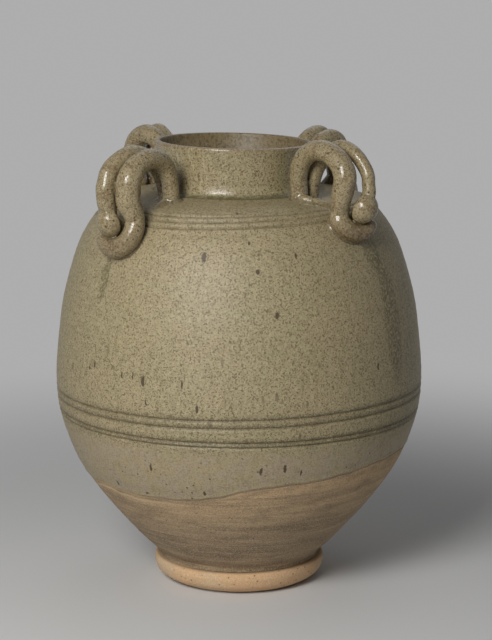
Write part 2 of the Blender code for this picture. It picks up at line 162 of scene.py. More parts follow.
HIGH_HOOK = [(0.02, -0.13, 0.48, 0.92), (-0.005, 0.15, 0.48, 0.83), (-0.03, 0.42, 0.52, 0.86),
             (0.005, 0.685, 0.55, 0.92), (0.13, 0.915, 0.55, 0.94), (0.29, 1.035, 0.55, 0.97),
             (0.425, 1.02, 0.55, 1.01), (0.505, 0.94, 0.55, 1.05), (0.55, 0.80, 0.59, 1.07),
             (0.58, 0.60, 0.62, 1.04), (0.615, 0.415, 0.61, 0.95), (0.66, 0.21, 0.47, 0.88),
             (0.76, 0.125, 0.50, 0.92), (0.885, 0.11, 0.20, 0.92), (0.95, 0.13, -0.25, 0.89),
             (0.95, 0.185, -0.64, 0.80), (0.91, 0.24, -0.90, 0.66)]
HIGH_KNOB_STRAND = [(0.0, -0.13, -0.31, 1.10), (0.005, 0.175, -0.31, 1.05), (0.055, 0.54, -0.34, 1.04),
                    (0.18, 0.86, -0.38, 1.06), (0.33, 1.085, -0.41, 1.02), (0.455, 1.10, -0.45, 0.97),
                    (0.53, 1.015, -0.48, 0.92), (0.595, 0.89, -0.48, 0.90), (0.645, 0.745, -0.45, 0.92),
                    (0.68, 0.59, -0.41, 1.0), (0.745, 0.43, -0.41, 1.05), (0.745, 0.19, -0.60, 1.05),
                    (0.74, -0.13, -0.65, 1.05)]
# Clay smeared from the hook strand's root along the shoulder
LOW_SMEAR = [(-0.02, 0.03, 0.40, 0.55), (0.07, 0.01, 0.43, 0.46), (0.17, -0.02, 0.46, 0.30)]
HIGH_SMEAR = [(0.0, 0.05, 0.52, 0.62), (0.08, 0.035, 0.58, 0.55), (0.18, 0.025, 0.50, 0.48),
              (0.29, 0.015, 0.25, 0.42), (0.38, 0.0, 0.02, 0.38), (0.48, -0.01, -0.10, 0.30)]
HOOK_COIL_RADIUS = 0.0072
# A coil's rows in its rounded end, in degrees, its sides, its glaze, and the most that its root goes in
COIL_END_ANGLES = (86, 76, 64, 50, 34, 17)
COIL_SIDES = 40
COIL_GLAZE = 0.00012
ROOT_DEPTH = 0.0025
# Skin under the handles, from and to a distance from the seat, and the number of its rows
HANDLE_SKIN = (-0.012, 0.10, 225)
# Knob: sides round its ball and from end to end, and the height of its underside as a share
KNOB_SIDES = (56, 36)
KNOB_UNDERSIDE = 0.40
# Rounds of averaging that find the hollows of a handle, and that soften what they find
HOLLOW_ROUNDS = (30, 6)
LOW_FORM = {
    "hook": LOW_HOOK, "knob_strand": LOW_KNOB_STRAND, "smear": LOW_SMEAR, "coil": 0.0060,
    "knob_place": (0.735, 0.425, -0.40), "knob_lean": (0.62, -0.78), "knob_size": (0.0215, 0.0092),
}
HIGH_FORM = {
    "hook": HIGH_HOOK, "knob_strand": HIGH_KNOB_STRAND, "smear": HIGH_SMEAR, "coil": 0.0050,
    "knob_place": (0.73, 0.51, -0.28), "knob_lean": (0.55, -0.83), "knob_size": (0.0212, 0.0098),
}
# Each handle: its direction in degrees, the side of its hook strand, form, root, span and rise
HANDLES = {
    "front_right": (0, -1, HIGH_FORM, 0.0040, 0.0510, 0.0362),
    "back_right": (90, -1, LOW_FORM, 0.0055, 0.0440, 0.0308),
    "back_left": (180, 1, HIGH_FORM, 0.0060, 0.0410, 0.0342),
    "front_left": (270, 1, LOW_FORM, 0.0110, 0.0530, 0.0325),
}

# Lower edge of the glaze: (angle in degrees, height)
GLAZE_EDGE = [(-67, 0.0802), (-55, 0.0832), (-47, 0.0809), (-37, 0.0805), (-26, 0.0812), (-14, 0.0828),
              (-6, 0.0862), (4, 0.0916), (10, 0.0934), (18, 0.0942), (27, 0.0951), (35, 0.0968),
              (44, 0.0990), (53, 0.1003), (67, 0.1014), (95, 0.0990), (118, 0.0940), (140, 0.0900),
              (160, 0.0912), (180, 0.0875), (205, 0.0830), (230, 0.0852), (258, 0.0815)]
GLAZE_EDGE_LEVEL = 0.0890
# Small waves of that edge: (waves round the jar, height, start)
EDGE_WAVES = [(23, 0.00026, 0.6), (41, 0.00020, 2.0), (90, 0.00010, 0.0)]
# Degrees between its points, and how many of them on each side it is averaged over
EDGE_STEP = 0.5
EDGE_BLUR = 7
# Bead along it: distance in, softness, and height as a share of the glaze's thickness
BEAD = (0.0014, 0.0008, 0.4)
# Rows slide with it from a distance below the seam, in full within a distance of it, and up to a
# distance over the base
EDGE_SLIDE = (0.0105, 0.0016, 0.010)
# Cover of glaze, as a distance from its edge, where none of that edge is near
FULL_COVER = 0.05

# Brown streaks in the glaze, and darker runs: (angle in degrees, then in millimetres the height, half
# the width and half the height of the mark)
STREAKS = [(-51.3, 167.3, 0.7, 2.2), (-49, 169.4, 0.8, 3), (-37.1, 167, 0.8, 2.8),
           (-33, 167.2, 0.7, 2.2), (-29.4, 164.4, 1.2, 4), (-16.7, 164.7, 0.8, 3), (-12.1, 149, 0.9, 3),
           (-28.2, 150.6, 0.7, 2.2), (7, 106.4, 1, 3), (14.6, 107.3, 1.1, 3.4), (20.1, 103.2, 0.8, 2.6),
           (-28.7, 104.9, 1, 3.2), (-33.5, 83.7, 1, 1.6), (-11.3, 88.4, 1, 1.8), (-46.3, 87.1, 1, 1.8),
           (46.9, 169.5, 0.9, 3), (-11.8, 245.1, 2, 3), (3.8, 254.5, 1.1, 1.4), (6.4, 237.1, 1.5, 1.8),
           (11.9, 209.7, 1.4, 2.2), (20.1, 245.6, 1, 2), (-0.6, 271.2, 1, 1.2)]
RUNS = [(-50, 227, 4.5, 15), (53.5, 244, 9, 15), (57, 200, 10, 48)]
# Radius of the body, in millimetres, at which the marks' widths are measured
MARKED_RADIUS = 120

# Sides of the turned foot and neck, and the angle in degrees over which an edge stays sharp
FOOT_SIDES = 256
NECK_SIDES = 288
CREASE = 55
# Distances between the rows of each half of the body: outside, beside a groove and inside
LOWER_STEPS = (0.0011, 0.00024, 0.005)
UPPER_STEPS = (0.0013, 0.00025, 0.006)

# Scales of the slow waves in the surfaces
BODY_WAVES = 38
NECK_WAVES = 45
FOOT_WAVES = (90, 260)
HANDLE_WAVES = (150, 340)

# Scales of the patterns that several finishes share
SPECKLE = 900
GRIT = 1100
GLOSS = 300


def eased(value, low, high):
    """Smooth step from 0 at low to 1 at high."""
    share = np.clip((np.asarray(value, float) - low) / (high - low), 0.0, 1.0)
    return share * share * (3 - 2 * share)


def smooth_curve(points, steps):
    """Points along a smooth curve through the given points."""
    rows = np.array(points, float)
    rows = np.vstack([2 * rows[0] - rows[1], rows, 2 * rows[-1] - rows[-2]])
    share = np.linspace(0, 1, steps, endpoint=False)[:, None]
    parts = []
    for first, second, third, fourth in zip(rows, rows[1:], rows[2:], rows[3:]):
        square = 2 * first - 5 * second + 4 * third - fourth
        cube = 3 * second - first - 3 * third + fourth
        parts.append((2 * second + (third - first) * share + square * share ** 2 + cube * share ** 3) / 2)
    return np.vstack([*parts, rows[-2:-1]])


def reaches(points):
    """Distances of points from the jar's axis."""
    return np.hypot(points[:, 0], points[:, 1])


def turns(points):
    """Angles of points round the jar's axis."""
    return np.arctan2(points[:, 1], points[:, 0])


class Outline:
    """The body's outside in section, measured by the distance run down it from the neck's seat."""

    def __init__(self):
        seat = NECK_FOOT_RADIUS + NECK_OFFSET + SEAT_MARGIN
        base = FOOT_HEIGHT + CLEARANCE
        points = [(seat + swell * (BELLY_RADIUS - seat),
                   BELLY_HEIGHT + rise * (SHOULDER_HEIGHT - BELLY_HEIGHT))
                  for rise, swell in reversed(UPPER_OUTLINE)]
        points += [(BASE_RADIUS + swell * (BELLY_RADIUS - BASE_RADIUS),
                    base + rise * (BELLY_HEIGHT - base))
                   for rise, swell in reversed(LOWER_OUTLINE)]
        line = smooth_curve(points, 16)
        arcs = np.concatenate([[0.0], np.cumsum(np.linalg.norm(np.diff(line, axis=0), axis=1))])
        self.length = arcs[-1]
        self.arcs = np.concatenate([[-seat, -0.001], arcs])
        self.radii = np.concatenate([[0.0, seat - 0.001], line[:, 0]])
        self.heights = np.concatenate([[SHOULDER_HEIGHT, SHOULDER_HEIGHT], line[:, 1]])
        self.outs = -np.gradient(self.heights, self.arcs)
        self.ups = np.gradient(self.radii, self.arcs)

    def at(self, arc):
        """Radius, height and the outward direction's two parts at distances down the outline."""
        values = [np.interp(arc, self.arcs, column)
                  for column in (self.radii, self.heights, self.outs, self.ups)]
        size = np.hypot(values[2], values[3])
        return values[0], values[1], values[2] / size, values[3] / size

    def arc_at_height(self, height):
        """Distance down the outline at which it comes to a height below the seat."""
        return np.interp(-np.asarray(height), -self.heights[2:], self.arcs[2:])

    def clearance(self, points):
        """Height off the skin and distance down it, for points outside or just inside the shoulder."""
        radii = reaches(points)
        arcs = np.linspace(*HANDLE_SKIN)
        skin_radii, skin_heights, outs, ups = self.at(arcs)
        near = np.empty(len(points), int)
        batch = 4000
        for start in range(0, len(points), batch):
            part = slice(start, start + batch)
            gaps = (radii[part, None] - skin_radii) ** 2 + (points[part, 2, None] - skin_heights) ** 2
            near[part] = gaps.argmin(axis=1)
        across, up = radii - skin_radii[near], points[:, 2] - skin_heights[near]
        return across * outs[near] + up * ups[near], arcs[near] + across * ups[near] - up * outs[near]


outline = Outline()
SEAM = float(outline.arc_at_height(BELLY_SEAM_HEIGHT))


class Value:
    """Socket of a node tree whose operators add Math nodes."""

    def __init__(self, graph, socket):
        self.graph = graph
        self.socket = socket

    def __add__(self, other):
        return self.graph.math("ADD", self, other)

    def __sub__(self, other):
        return self.graph.math("SUBTRACT", self, other)

    def __rsub__(self, other):
        return self.graph.math("SUBTRACT", other, self)

    def __mul__(self, other):
        return self.graph.math("MULTIPLY", self, other)

    def __truediv__(self, other):
        return self.graph.math("DIVIDE", self, other)

    __radd__ = __add__
    __rmul__ = __mul__

    def larger(self, other):
        """The larger of this value and another."""
        return self.graph.math("MAXIMUM", self, other)

    def smooth(self, low, high):
        """Smooth step from 0 at low to 1 at high; low may be the larger."""
        return self.graph.value("ShaderNodeMapRange", "Result",
                                {"Value": self, "From Min": low, "From Max": high},
                                interpolation_type="SMOOTHSTEP", clamp=True)


class Graph:
    """Node tree that is built from Python expressions."""

    def __init__(self, tree):
        self.tree = tree

    def node(self, kind, inputs=None, **settings):
        """Node of a type, with its settings made first, and then the values or links of its sockets."""
        made = self.tree.nodes.new(kind)
        for setting, value in settings.items():
            setattr(made, setting, value)
        for socket, value in (inputs or {}).items():
            if isinstance(value, Value):
                self.tree.links.new(value.socket, made.inputs[socket])
            elif made.inputs[socket].type == "RGBA":
                made.inputs[socket].default_value = (*value, 1.0)
            else:
                made.inputs[socket].default_value = value
        return made

    def value(self, kind, output, inputs=None, **settings):
        """One output of a new node."""
        return Value(self, self.node(kind, inputs, **settings).outputs[output])

    def math(self, operation, *values):
        """Number from a Math node."""
        return self.value("ShaderNodeMath", 0, dict(enumerate(values)), operation=operation)

    def parts(self, vector):
        """The three parts of a vector."""
        made = self.node("ShaderNodeSeparateXYZ", {"Vector": vector})
        return [Value(self, socket) for socket in made.outputs]


class Finish(Graph):
    """Material of one finish: its colour, laid in layers, and textures in object coordinates."""

    def __init__(self, name, **shader):
        self.material = bpy.data.materials.new(name)
        self.material.use_nodes = True
        super().__init__(self.material.node_tree)
        self.tree.nodes.clear()
        self.shader = self.node("ShaderNodeBsdfPrincipled", shader)
        self.output = self.node("ShaderNodeOutputMaterial",
                                {"Surface": Value(self, self.shader.outputs[0])})
        self.place = self.value("ShaderNodeTexCoord", "Object")
        self.colour = None

    def attribute(self, name):
        """Number that a piece carries at its points."""
        return self.value("ShaderNodeAttribute", "Fac", attribute_name=name)

    def scaled(self, scale):
        """Place and scale for a texture. A scale for each axis stretches the place."""
        if isinstance(scale, tuple):
            return self.value("ShaderNodeMapping", "Vector", {"Vector": self.place, "Scale": scale}), 1.0
        return self.place, scale

    def grain(self, scale, detail=2.0, roughness=0.5, distortion=0.0):
        """Noise from 0 to 1, averaging a half."""
        place, scale = self.scaled(scale)
        return self.value("ShaderNodeTexNoise", "Fac",
                          {"Vector": place, "Scale": scale, "Detail": detail, "Roughness": roughness,
                           "Distortion": distortion})

    def dots(self, scale, size, spread=0.45, patches=None):
        """Scattered dots, 1 in their middles, gathered in patches."""
        place, ratio = self.scaled(scale)
        away = self.value("ShaderNodeTexVoronoi", "Distance", {"Vector": place, "Scale": ratio})
        gathered = self.grain(patches or scale * 0.12, 1).smooth(spread, spread + 0.2)
        return (1 - away.smooth(size / 2, size)) * gathered

    def blend(self, factor, first, second):
        """Colour between two colours."""
        return self.value("ShaderNodeMix", 2, {0: factor, 6: first, 7: second}, data_type="RGBA")

    def lay(self, colour, amount):
        """Lay a colour over this finish, in an amount from 0 to 1."""
        self.colour = self.blend(amount, self.colour, colour)

    def turn(self):
        """Angle round the jar from the camera's side, in radians."""
        x, y = self.parts(self.place)[:2]
        return self.math("ARCTAN2", (x + y) * DIAGONAL, (x - y) * DIAGONAL)

    def radius(self):
        """Distance from the jar's axis."""
        x, y = self.parts(self.place)[:2]
        return self.math("POWER", x * x + y * y, 0.5)

    def height(self):
        """Height over the floor."""
        return self.parts(self.place)[2]

    def feed(self, socket, value):
        """Give the shader a value that varies over the surface."""
        self.tree.links.new(value.socket, self.shader.inputs[socket])

    def close(self, roughness, relief, depth):
        """Give the shader its colour, its roughness, and a bump of a relief from 0 to 1 times a depth."""
        self.feed("Base Color", self.colour)
        self.feed("Roughness", roughness)
        self.feed("Normal", self.value("ShaderNodeBump", "Normal",
                                       {"Height": relief, "Distance": depth, "Strength": 1.0}))


class Form(Graph):
    """Geometry Nodes tree with named inputs, which ends in one form."""

    def __init__(self, name, inputs):
        super().__init__(bpy.data.node_groups.new(name, "GeometryNodeTree"))
        self.sockets = {}
        for label, (kind, default) in inputs.items():
            socket = self.tree.interface.new_socket(label, in_out="INPUT",
                                                    socket_type="NodeSocket" + kind)
            if default is not None:
                socket.default_value = default
            self.sockets[label] = socket.identifier
        self.tree.interface.new_socket("Form", in_out="OUTPUT", socket_type="NodeSocketGeometry")
        given = self.node("NodeGroupInput")
        self.inputs = {label: Value(self, given.outputs[label]) for label in inputs}

    def column(self, name):
        """Number that the drawn line carries at its points."""
        return self.value("GeometryNodeInputNamedAttribute", "Attribute", {"Name": name},
                          data_type="FLOAT")

    def close(self, form):
        """End the tree: the form's doubles merged, made real, and given its finish."""
        form = self.value("GeometryNodeMergeByDistance", 0, {"Geometry": form, "Distance": 1e-6})
        form = self.value("GeometryNodeRealizeInstances", 0, {"Geometry": form})
        form = self.value("GeometryNodeSetMaterial", 0,
                          {"Geometry": form, "Material": self.inputs["Finish"]})
        self.node("NodeGroupOutput", {"Form": form})
        return self


def turned_form():
    """Tree that turns a section round the upright axis. Rows may lean, and may stand aside with the neck.

    The section is drawn in the XZ plane. Its points carry lean, a share of the radius by which the row
    slides along its run where it faces the lean angle, the run's two parts, and aside.
    """
    tree = Form("turned_form", {"Section": ("Geometry", None), "Sides": ("Int", 96),
                                "Lean Angle": ("Float", 0.0), "Aside": ("Vector", None),
                                "Finish": ("Material", None)})
    line = tree.value("GeometryNodeMeshToCurve", 0, {"Mesh": tree.inputs["Section"]})
    line = tree.value("GeometryNodeTransform", 0,
                      {"Geometry": line, "Rotation": (math.pi / 2, 0, 0), "Translation": (-1, 0, 0)})
    ring = tree.value("GeometryNodeCurvePrimitiveCircle", 0,
                      {"Resolution": tree.inputs["Sides"], "Radius": 1.0})
    ring = tree.value("GeometryNodeSetCurveNormal", 0, {"Curve": ring}, mode="Z_UP")
    form = tree.value("GeometryNodeCurveToMesh", 0, {"Curve": ring, "Profile Curve": line})
    x, y = tree.parts(tree.value("GeometryNodeInputPosition", 0))[:2]
    turn = tree.math("ARCTAN2", y, x)
    radius = tree.math("POWER", x * x + y * y, 0.5)
    slide = radius * tree.math("COSINE", turn - tree.inputs["Lean Angle"]) * tree.column("lean") * -1.0
    away = slide * tree.column("run_out")
    shift = tree.value("ShaderNodeCombineXYZ", 0,
                       {"X": away * tree.math("COSINE", turn), "Y": away * tree.math("SINE", turn),
                        "Z": slide * tree.column("run_up")})
    aside = tree.value("ShaderNodeVectorMath", 0,
                       {"Vector": tree.inputs["Aside"], "Scale": tree.column("aside")}, operation="SCALE")
    shift = tree.value("ShaderNodeVectorMath", 0, {0: shift, 1: aside}, operation="ADD")
    return tree.close(tree.value("GeometryNodeSetPosition", 0, {"Geometry": form, "Offset": shift}))


def coil_form():
    """Tree that rolls a coil of clay along a line whose points carry its thickness."""
    tree = Form("rolled_coil", {"Line": ("Geometry", None), "Sides": ("Int", 32),
                                "Finish": ("Material", None)})
    line = tree.value("GeometryNodeMeshToCurve", 0, {"Mesh": tree.inputs["Line"]})
    ring = tree.value("GeometryNodeCurvePrimitiveCircle", 0,
                      {"Resolution": tree.inputs["Sides"], "Radius": 1.0})
    return tree.close(tree.value("GeometryNodeCurveToMesh", 0,
                                 {"Curve": line, "Profile Curve": ring, "Scale": tree.column("thickness"),
                                  "Fill Caps": True}))


def line_mesh(name, points, closed=False, **columns):
    """Mesh of one line of points, with a number of each column at every point."""
    mesh = bpy.data.meshes.new(name)
    edges = [(index, index + 1) for index in range(len(points) - 1)]
    if closed:
        edges.append((len(points) - 1, 0))
    mesh.from_pydata([tuple(point) for point in points], edges, [])
    for column, values in columns.items():
        store(mesh, column, values)
    return mesh


def store(mesh, name, values):
    """Write a number for every point of a mesh."""
    layer = mesh.attributes.get(name) or mesh.attributes.new(name, "FLOAT", "POINT")
    layer.data.foreach_set("value", np.asarray(values, np.float32))


def numbers(items, name, width=1):
    """Rows of numbers that a mesh keeps under a name for its points."""
    values = np.empty(len(items) * width, np.float32)
    items.foreach_get(name, values)
    return values.astype(float).reshape(-1, width)


def stored(mesh, name):
    """Numbers that a mesh carries at its points."""
    return numbers(mesh.attributes[name].data, "value")[:, 0]


def positions(mesh):
    """Places of a mesh's points."""
    return numbers(mesh.vertices, "co", 3)


def normals(mesh):
    """Outward directions at a mesh's points."""
    return numbers(mesh.vertex_normals, "vector", 3)


def move_to(mesh, points):
    """Give a mesh's points new places."""
    mesh.vertices.foreach_set("co", np.asarray(points, np.float32).ravel())
    mesh.update()


def mesh_of(name, shape):
    """Plain mesh of a drawn shape."""
    mesh = bpy.data.meshes.new(name)
    shape.to_mesh(mesh)
    shape.free()
    return mesh


def placed(name, data):
    """New object of the scene, at the origin."""
    item = bpy.data.objects.new(name, data)
    bpy.context.collection.objects.link(item)
    return item


def applied(name, source):
    """Plain mesh of an object with its modifiers applied, in place of the object."""
    bpy.context.view_layer.update()
    graph = bpy.context.evaluated_depsgraph_get()
    made = bpy.data.meshes.new_from_object(source.evaluated_get(graph))
    made.name = name
    mesh = source.data
    bpy.data.objects.remove(source)
    bpy.data.meshes.remove(mesh)
    return made


def grown(name, mesh, form, **inputs):
    """Mesh that a form's tree grows from a drawn line."""
    source = placed(name + "_line", mesh)
    modifier = source.modifiers.new("form", "NODES")
    modifier.node_group = form.tree
    for label, value in inputs.items():
        modifier[form.sockets[label.replace("_", " ")]] = value
    made = applied(name, source)
    bpy.data.node_groups.remove(form.tree)
    return made


def face_outward(mesh, hard=None):
    """Turn a closed mesh's faces outward, and shade it smooth but for edges over an angle in degrees."""
    shape = bmesh.new()
    shape.from_mesh(mesh)
    bmesh.ops.recalc_face_normals(shape, faces=shape.faces)
    shape.to_mesh(mesh)
    shape.free()
    mesh.shade_smooth()
    if hard:
        mesh.set_sharp_from_angle(angle=math.radians(hard))


def piece(mesh, material, nodes):
    """Finished piece that rides on the jar's body in place of its solids."""
    mesh.materials.clear()
    mesh.materials.append(material)
    item = placed(mesh.name, mesh)
    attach(item, "root")
    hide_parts(*nodes)


COLUMNS = ("lean", "run_out", "run_up", "aside", "groove", "pooled", "inside", "arc", "depth")


def rows_of(radii, heights, **columns):
    """Section rows: radius, height, and a number for each of COLUMNS, zero where none is given."""
    given = [columns.get(name, 0.0) for name in COLUMNS]
    return np.array([np.broadcast_to(np.asarray(column, float), np.shape(radii))
                     for column in (radii, heights, *given)])


def turned(name, parts, sides, material, closed=False):
    """Mesh of a section's parts turned round the axis."""
    rows = np.hstack(parts)
    points = np.stack([rows[0], np.zeros_like(rows[0]), rows[1]], axis=1)
    mesh = line_mesh(name + "_section", points, closed, **dict(zip(COLUMNS, rows[2:])))
    shift = (NECK_OFFSET * math.cos(NECK_ANGLE), NECK_OFFSET * math.sin(NECK_ANGLE), 0.0)
    made = grown(name, mesh, turned_form(), Sides=sides, Lean_Angle=LEAN_ANGLE, Aside=shift,
                 Finish=material)
    face_outward(made, CREASE)
    return made


def throwing(arcs):
    """Soft rings left by the potter's fingers, as a depth below the outline."""
    wave = sum(strength * np.sin(arcs * waves + start) for waves, strength, start in THROWING_WAVES)
    return THROWING_DEPTH * (1.3 + wave / 2.2)


def skin_rows(arcs, depth, grooves, lean=0.0, inside=0.0):
    """Section rows of the body's skin, set in by a depth and cut by grooves with soft lips."""
    radii, heights, outs, ups = outline.at(arcs)
    cuts, lips, pooled = np.zeros((3, len(arcs)))
    for groove in grooves:
        away = np.abs(arcs - groove)
        cuts += np.exp(-(away / GROOVE_SOFTNESS) ** 2)
        lips += np.exp(-((away - LIP_PLACE) / LIP_SOFTNESS) ** 2)
        pooled += np.exp(-((arcs - groove + POOL_PLACE) / POOL_REACH) ** 2)
    below = depth + GROOVE_DEPTH * cuts - LIP_HEIGHT * lips
    return rows_of(radii - below * outs, heights - below * ups, lean=lean, run_out=ups, run_up=-outs,
                   groove=np.clip(cuts, 0, 1), pooled=np.clip(pooled, 0, 1), inside=inside, arc=arcs,
                   depth=below)


def spaced(start, stop, step):
    """Even places from start to stop, both kept."""
    return np.linspace(start, stop, max(2, round(abs(stop - start) / step) + 1))


def dense(start, stop, step, fine, places):
    """Places from start to stop, closer together near some of them."""
    reach = 0.0018
    near = [np.arange(place - reach, place + reach + fine / 2, fine) for place in places]
    values = np.unique(np.round(np.concatenate([spaced(start, stop, step), *near]), 7))
    keep = [start]
    for value in values[(values > start) & (values < stop)]:
        if min(value - keep[-1], stop - value) > 0.6 * fine:
            keep.append(value)
    return np.array([*keep, stop])


def beside(points, out, up):
    """Vectors with a part away from the axis, on each point's own side of it, and a part up."""
    angles = turns(points)
    return np.stack([out * np.cos(angles), out * np.sin(angles), up], axis=1)


def edge_height(points):
    """Height of the glaze's lower edge on the side of each point."""
    places, heights = np.array(GLAZE_EDGE).T
    degrees = np.arange(0, 360, EDGE_STEP)
    level = np.interp(degrees, places, heights, period=360)
    window = np.hanning(2 * EDGE_BLUR + 1)
    level = np.concatenate([level[-EDGE_BLUR:], level, level[:EDGE_BLUR]])
    level = np.convolve(level, window / window.sum(), mode="valid")
    for waves, size, start in EDGE_WAVES:
        level += size * np.sin(np.radians(degrees) * waves + start)
    return np.interp(np.degrees(turns(points) - VIEW_TURN) % 360, degrees, level, period=360)


def uneven(points, amount, scale):
    """Small inward depth that varies slowly over a surface."""
    return amount * (0.5 + 0.5 * np.array([noise.noise(Vector(point) * scale) for point in points]))


def sunk(points, depth):
    """Points of the body's outside moved in by a depth."""
    arcs = outline.arc_at_height(points[:, 2])
    return points - beside(points, *outline.at(arcs)[2:]) * depth[:, None]


def waved(points, outside, away, amount):
    """Points with slow waves on the outside, which die out by the seam."""
    return sunk(points, outside * eased(away, 0.0, 0.010) * uneven(points, amount, BODY_WAVES))


def make_foot(settings, material):
    """Turned foot: a cushion-edged disc with a shallow recess underneath."""
    edge = smooth_curve(FOOT_EDGE, 6)
    radii = FOOT_LAND_RADIUS + edge[:, 1] * (FOOT_RADIUS - FOOT_LAND_RADIUS)
    top = [(BASE_RADIUS - 0.0008, FOOT_HEIGHT), (0.0, FOOT_HEIGHT)]
    line = np.vstack([smooth_curve(FOOT_UNDERSIDE, 6),
                      np.stack([radii, edge[:, 0] * FOOT_HEIGHT], axis=1), top])
    mesh = turned("jar_foot", [rows_of(line[:, 0], line[:, 1])], FOOT_SIDES, material)
    points = positions(mesh)
    reach = reaches(points)
    rim = eased(reach, 0.044, 0.056)
    coarse, fine = FOOT_WAVES
    worn = uneven(points, settings.wear, coarse) + uneven(points, settings.wear / 2, fine)
    points[:, :2] *= (1 - rim * worn / np.maximum(reach, 0.01))[:, None]
    move_to(mesh, points)
    piece(mesh, material, ["foot"])


def make_lower_body(settings, material):
    """Thrown lower half with its bare clay, and the glaze that ends above it in a wavy edge."""
    edge = float(outline.arc_at_height(GLAZE_EDGE_LEVEL))
    grooves = [SEAM + away for away in LOWER_BELLY_GROOVES]
    last = outline.length
    step, fine, inner_step = LOWER_STEPS
    arcs = dense(SEAM, last, step, fine, [*grooves, edge])
    outside = skin_rows(arcs, throwing(arcs) * eased(last - arcs, 0.0, 0.004), grooves)
    level = FOOT_HEIGHT + CLEARANCE + FLOOR_THICKNESS
    low = float(outline.arc_at_height(level + FLOOR_CORNER_TOP))
    inside = skin_rows(spaced(SEAM, low, inner_step), WALL, [], inside=1.0)
    corner = [(inside[0, -1] - away, level + rise) for away, rise in FLOOR_CORNER]
    floor = smooth_curve([*corner, (0.0, level)], 3)
    base = rows_of(BASE_ROWS, FOOT_HEIGHT, arc=last)
    mesh = turned("jar_lower_body", [base, outside[:, ::-1], inside,
                                     rows_of(floor[:, 0], floor[:, 1], inside=1.0)],
                  settings.sides, material)

    # Rows between the grooves and the foot slide so that the glaze's edge follows its waves
    points, arc = positions(mesh), stored(mesh, "arc")
    out = (stored(mesh, "inside") < 0.5) & (reaches(points) > BASE_RADIUS - 0.001)
    edges = outline.arc_at_height(edge_height(points))
    below, full, above = EDGE_SLIDE
    weight = eased(arc, SEAM + below, edge - full) * (1 - eased(arc, edge + full, last - above))
    reach = arc + weight * (edges - edge)
    cover = edges - reach
    bare = 1 - eased(cover, -0.0001, 0.0011)
    place, softness, share = BEAD
    bead = np.exp(-((cover - place) / softness) ** 2)
    depth = stored(mesh, "depth") + settings.glaze_thickness * (bare - share * bead)
    radii, heights, outs, ups = outline.at(reach)
    points[out] = beside(points, radii - depth * outs, heights - depth * ups)[out]
    move_to(mesh, waved(points, out, np.abs(arc - SEAM), settings.unevenness))
    store(mesh, "cover", np.where(out, cover, FULL_COVER))
    piece(mesh, material, ["lower_body"])


def make_upper_body(settings, material):
    """Thrown upper half: shoulder, side and the mouth hole under the neck."""
    grooves = [*SHOULDER_GROOVES, *(SEAM - away for away in UPPER_BELLY_GROOVES)]
    step, fine, inner_step = UPPER_STEPS
    arcs = dense(0.0, SEAM, step, fine, grooves)
    low = eased(arcs, *LEAN_CHANGE)
    seat_fade, seam_fade = LEAN_FADES
    lean = (SHOULDER_LEAN_SHARE * eased(arcs, 0.0, seat_fade) * (1 - low)
            + BELLY_LEAN_SHARE * low * eased(SEAM - arcs, 0.0, seam_fade))
    outside = skin_rows(arcs, throwing(arcs) * eased(arcs, 0.0, 0.01), grooves, lean)
    inside = skin_rows(spaced(SEAM, 0.0, inner_step), WALL, [], inside=1.0)
    hole = rows_of([NECK_INNER_RADIUS] * 2, [SHOULDER_HEIGHT - WALL, SHOULDER_HEIGHT], aside=1.0,
                   inside=1.0)
    radii, shares = np.array(SEAT_ROWS).T
    seat = rows_of(radii, SHOULDER_HEIGHT, aside=shares)
    mesh = turned("jar_upper_body", [hole, seat, outside, inside], settings.sides, material, closed=True)
    points = positions(mesh)
    out = (stored(mesh, "inside") < 0.5) & (points[:, 2] < SHOULDER_HEIGHT - 1e-5)
    move_to(mesh, waved(points, out, np.abs(stored(mesh, "arc") - SEAM), settings.unevenness))
    store(mesh, "cover", np.full(len(points), FULL_COVER))
    piece(mesh, material, ["upper_body"])


def make_neck(settings, material):
    """Short neck, a little off the axis, with a flared foot and a thin everted lip."""
    flare = NECK_FOOT_RADIUS - NECK_WAIST_RADIUS
    outer = [(rise, NECK_WAIST_RADIUS + foot * flare + lip * (RIM_RADIUS - NECK_WAIST_RADIUS))
             for rise, foot, lip in NECK_OUTSIDE]
    inner = [(rise, NECK_INNER_RADIUS + share * (RIM_INNER_RADIUS - NECK_INNER_RADIUS))
             for rise, share in NECK_INSIDE]
    rise, radii = smooth_curve(outer + inner, 5).T
    inside = (np.arange(len(rise)) > rise.argmax()).astype(float)
    heights = SHOULDER_HEIGHT + CLEARANCE + rise * NECK_HEIGHT
    rows = rows_of(radii, heights, lean=RIM_DIP * rise / RIM_RADIUS, run_up=1.0, aside=1.0,
                   inside=inside, arc=rise)
    mesh = turned("jar_neck", [rows], NECK_SIDES, material, closed=True)
    points = positions(mesh)
    middle = np.array([math.cos(NECK_ANGLE), math.sin(NECK_ANGLE), 0.0]) * NECK_OFFSET
    spokes = (points - middle) * (1, 1, 0)
    reach = np.linalg.norm(spokes, axis=1)[:, None]
    side = np.where(stored(mesh, "inside") > 0.5, -1.0, 1.0) * eased(stored(mesh, "arc"), 0.0, 0.1)
    points -= spokes / reach * (side * uneven(points, settings.unevenness, NECK_WAVES))[:, None]
    move_to(mesh, points)
    piece(mesh, material, ["neck"])


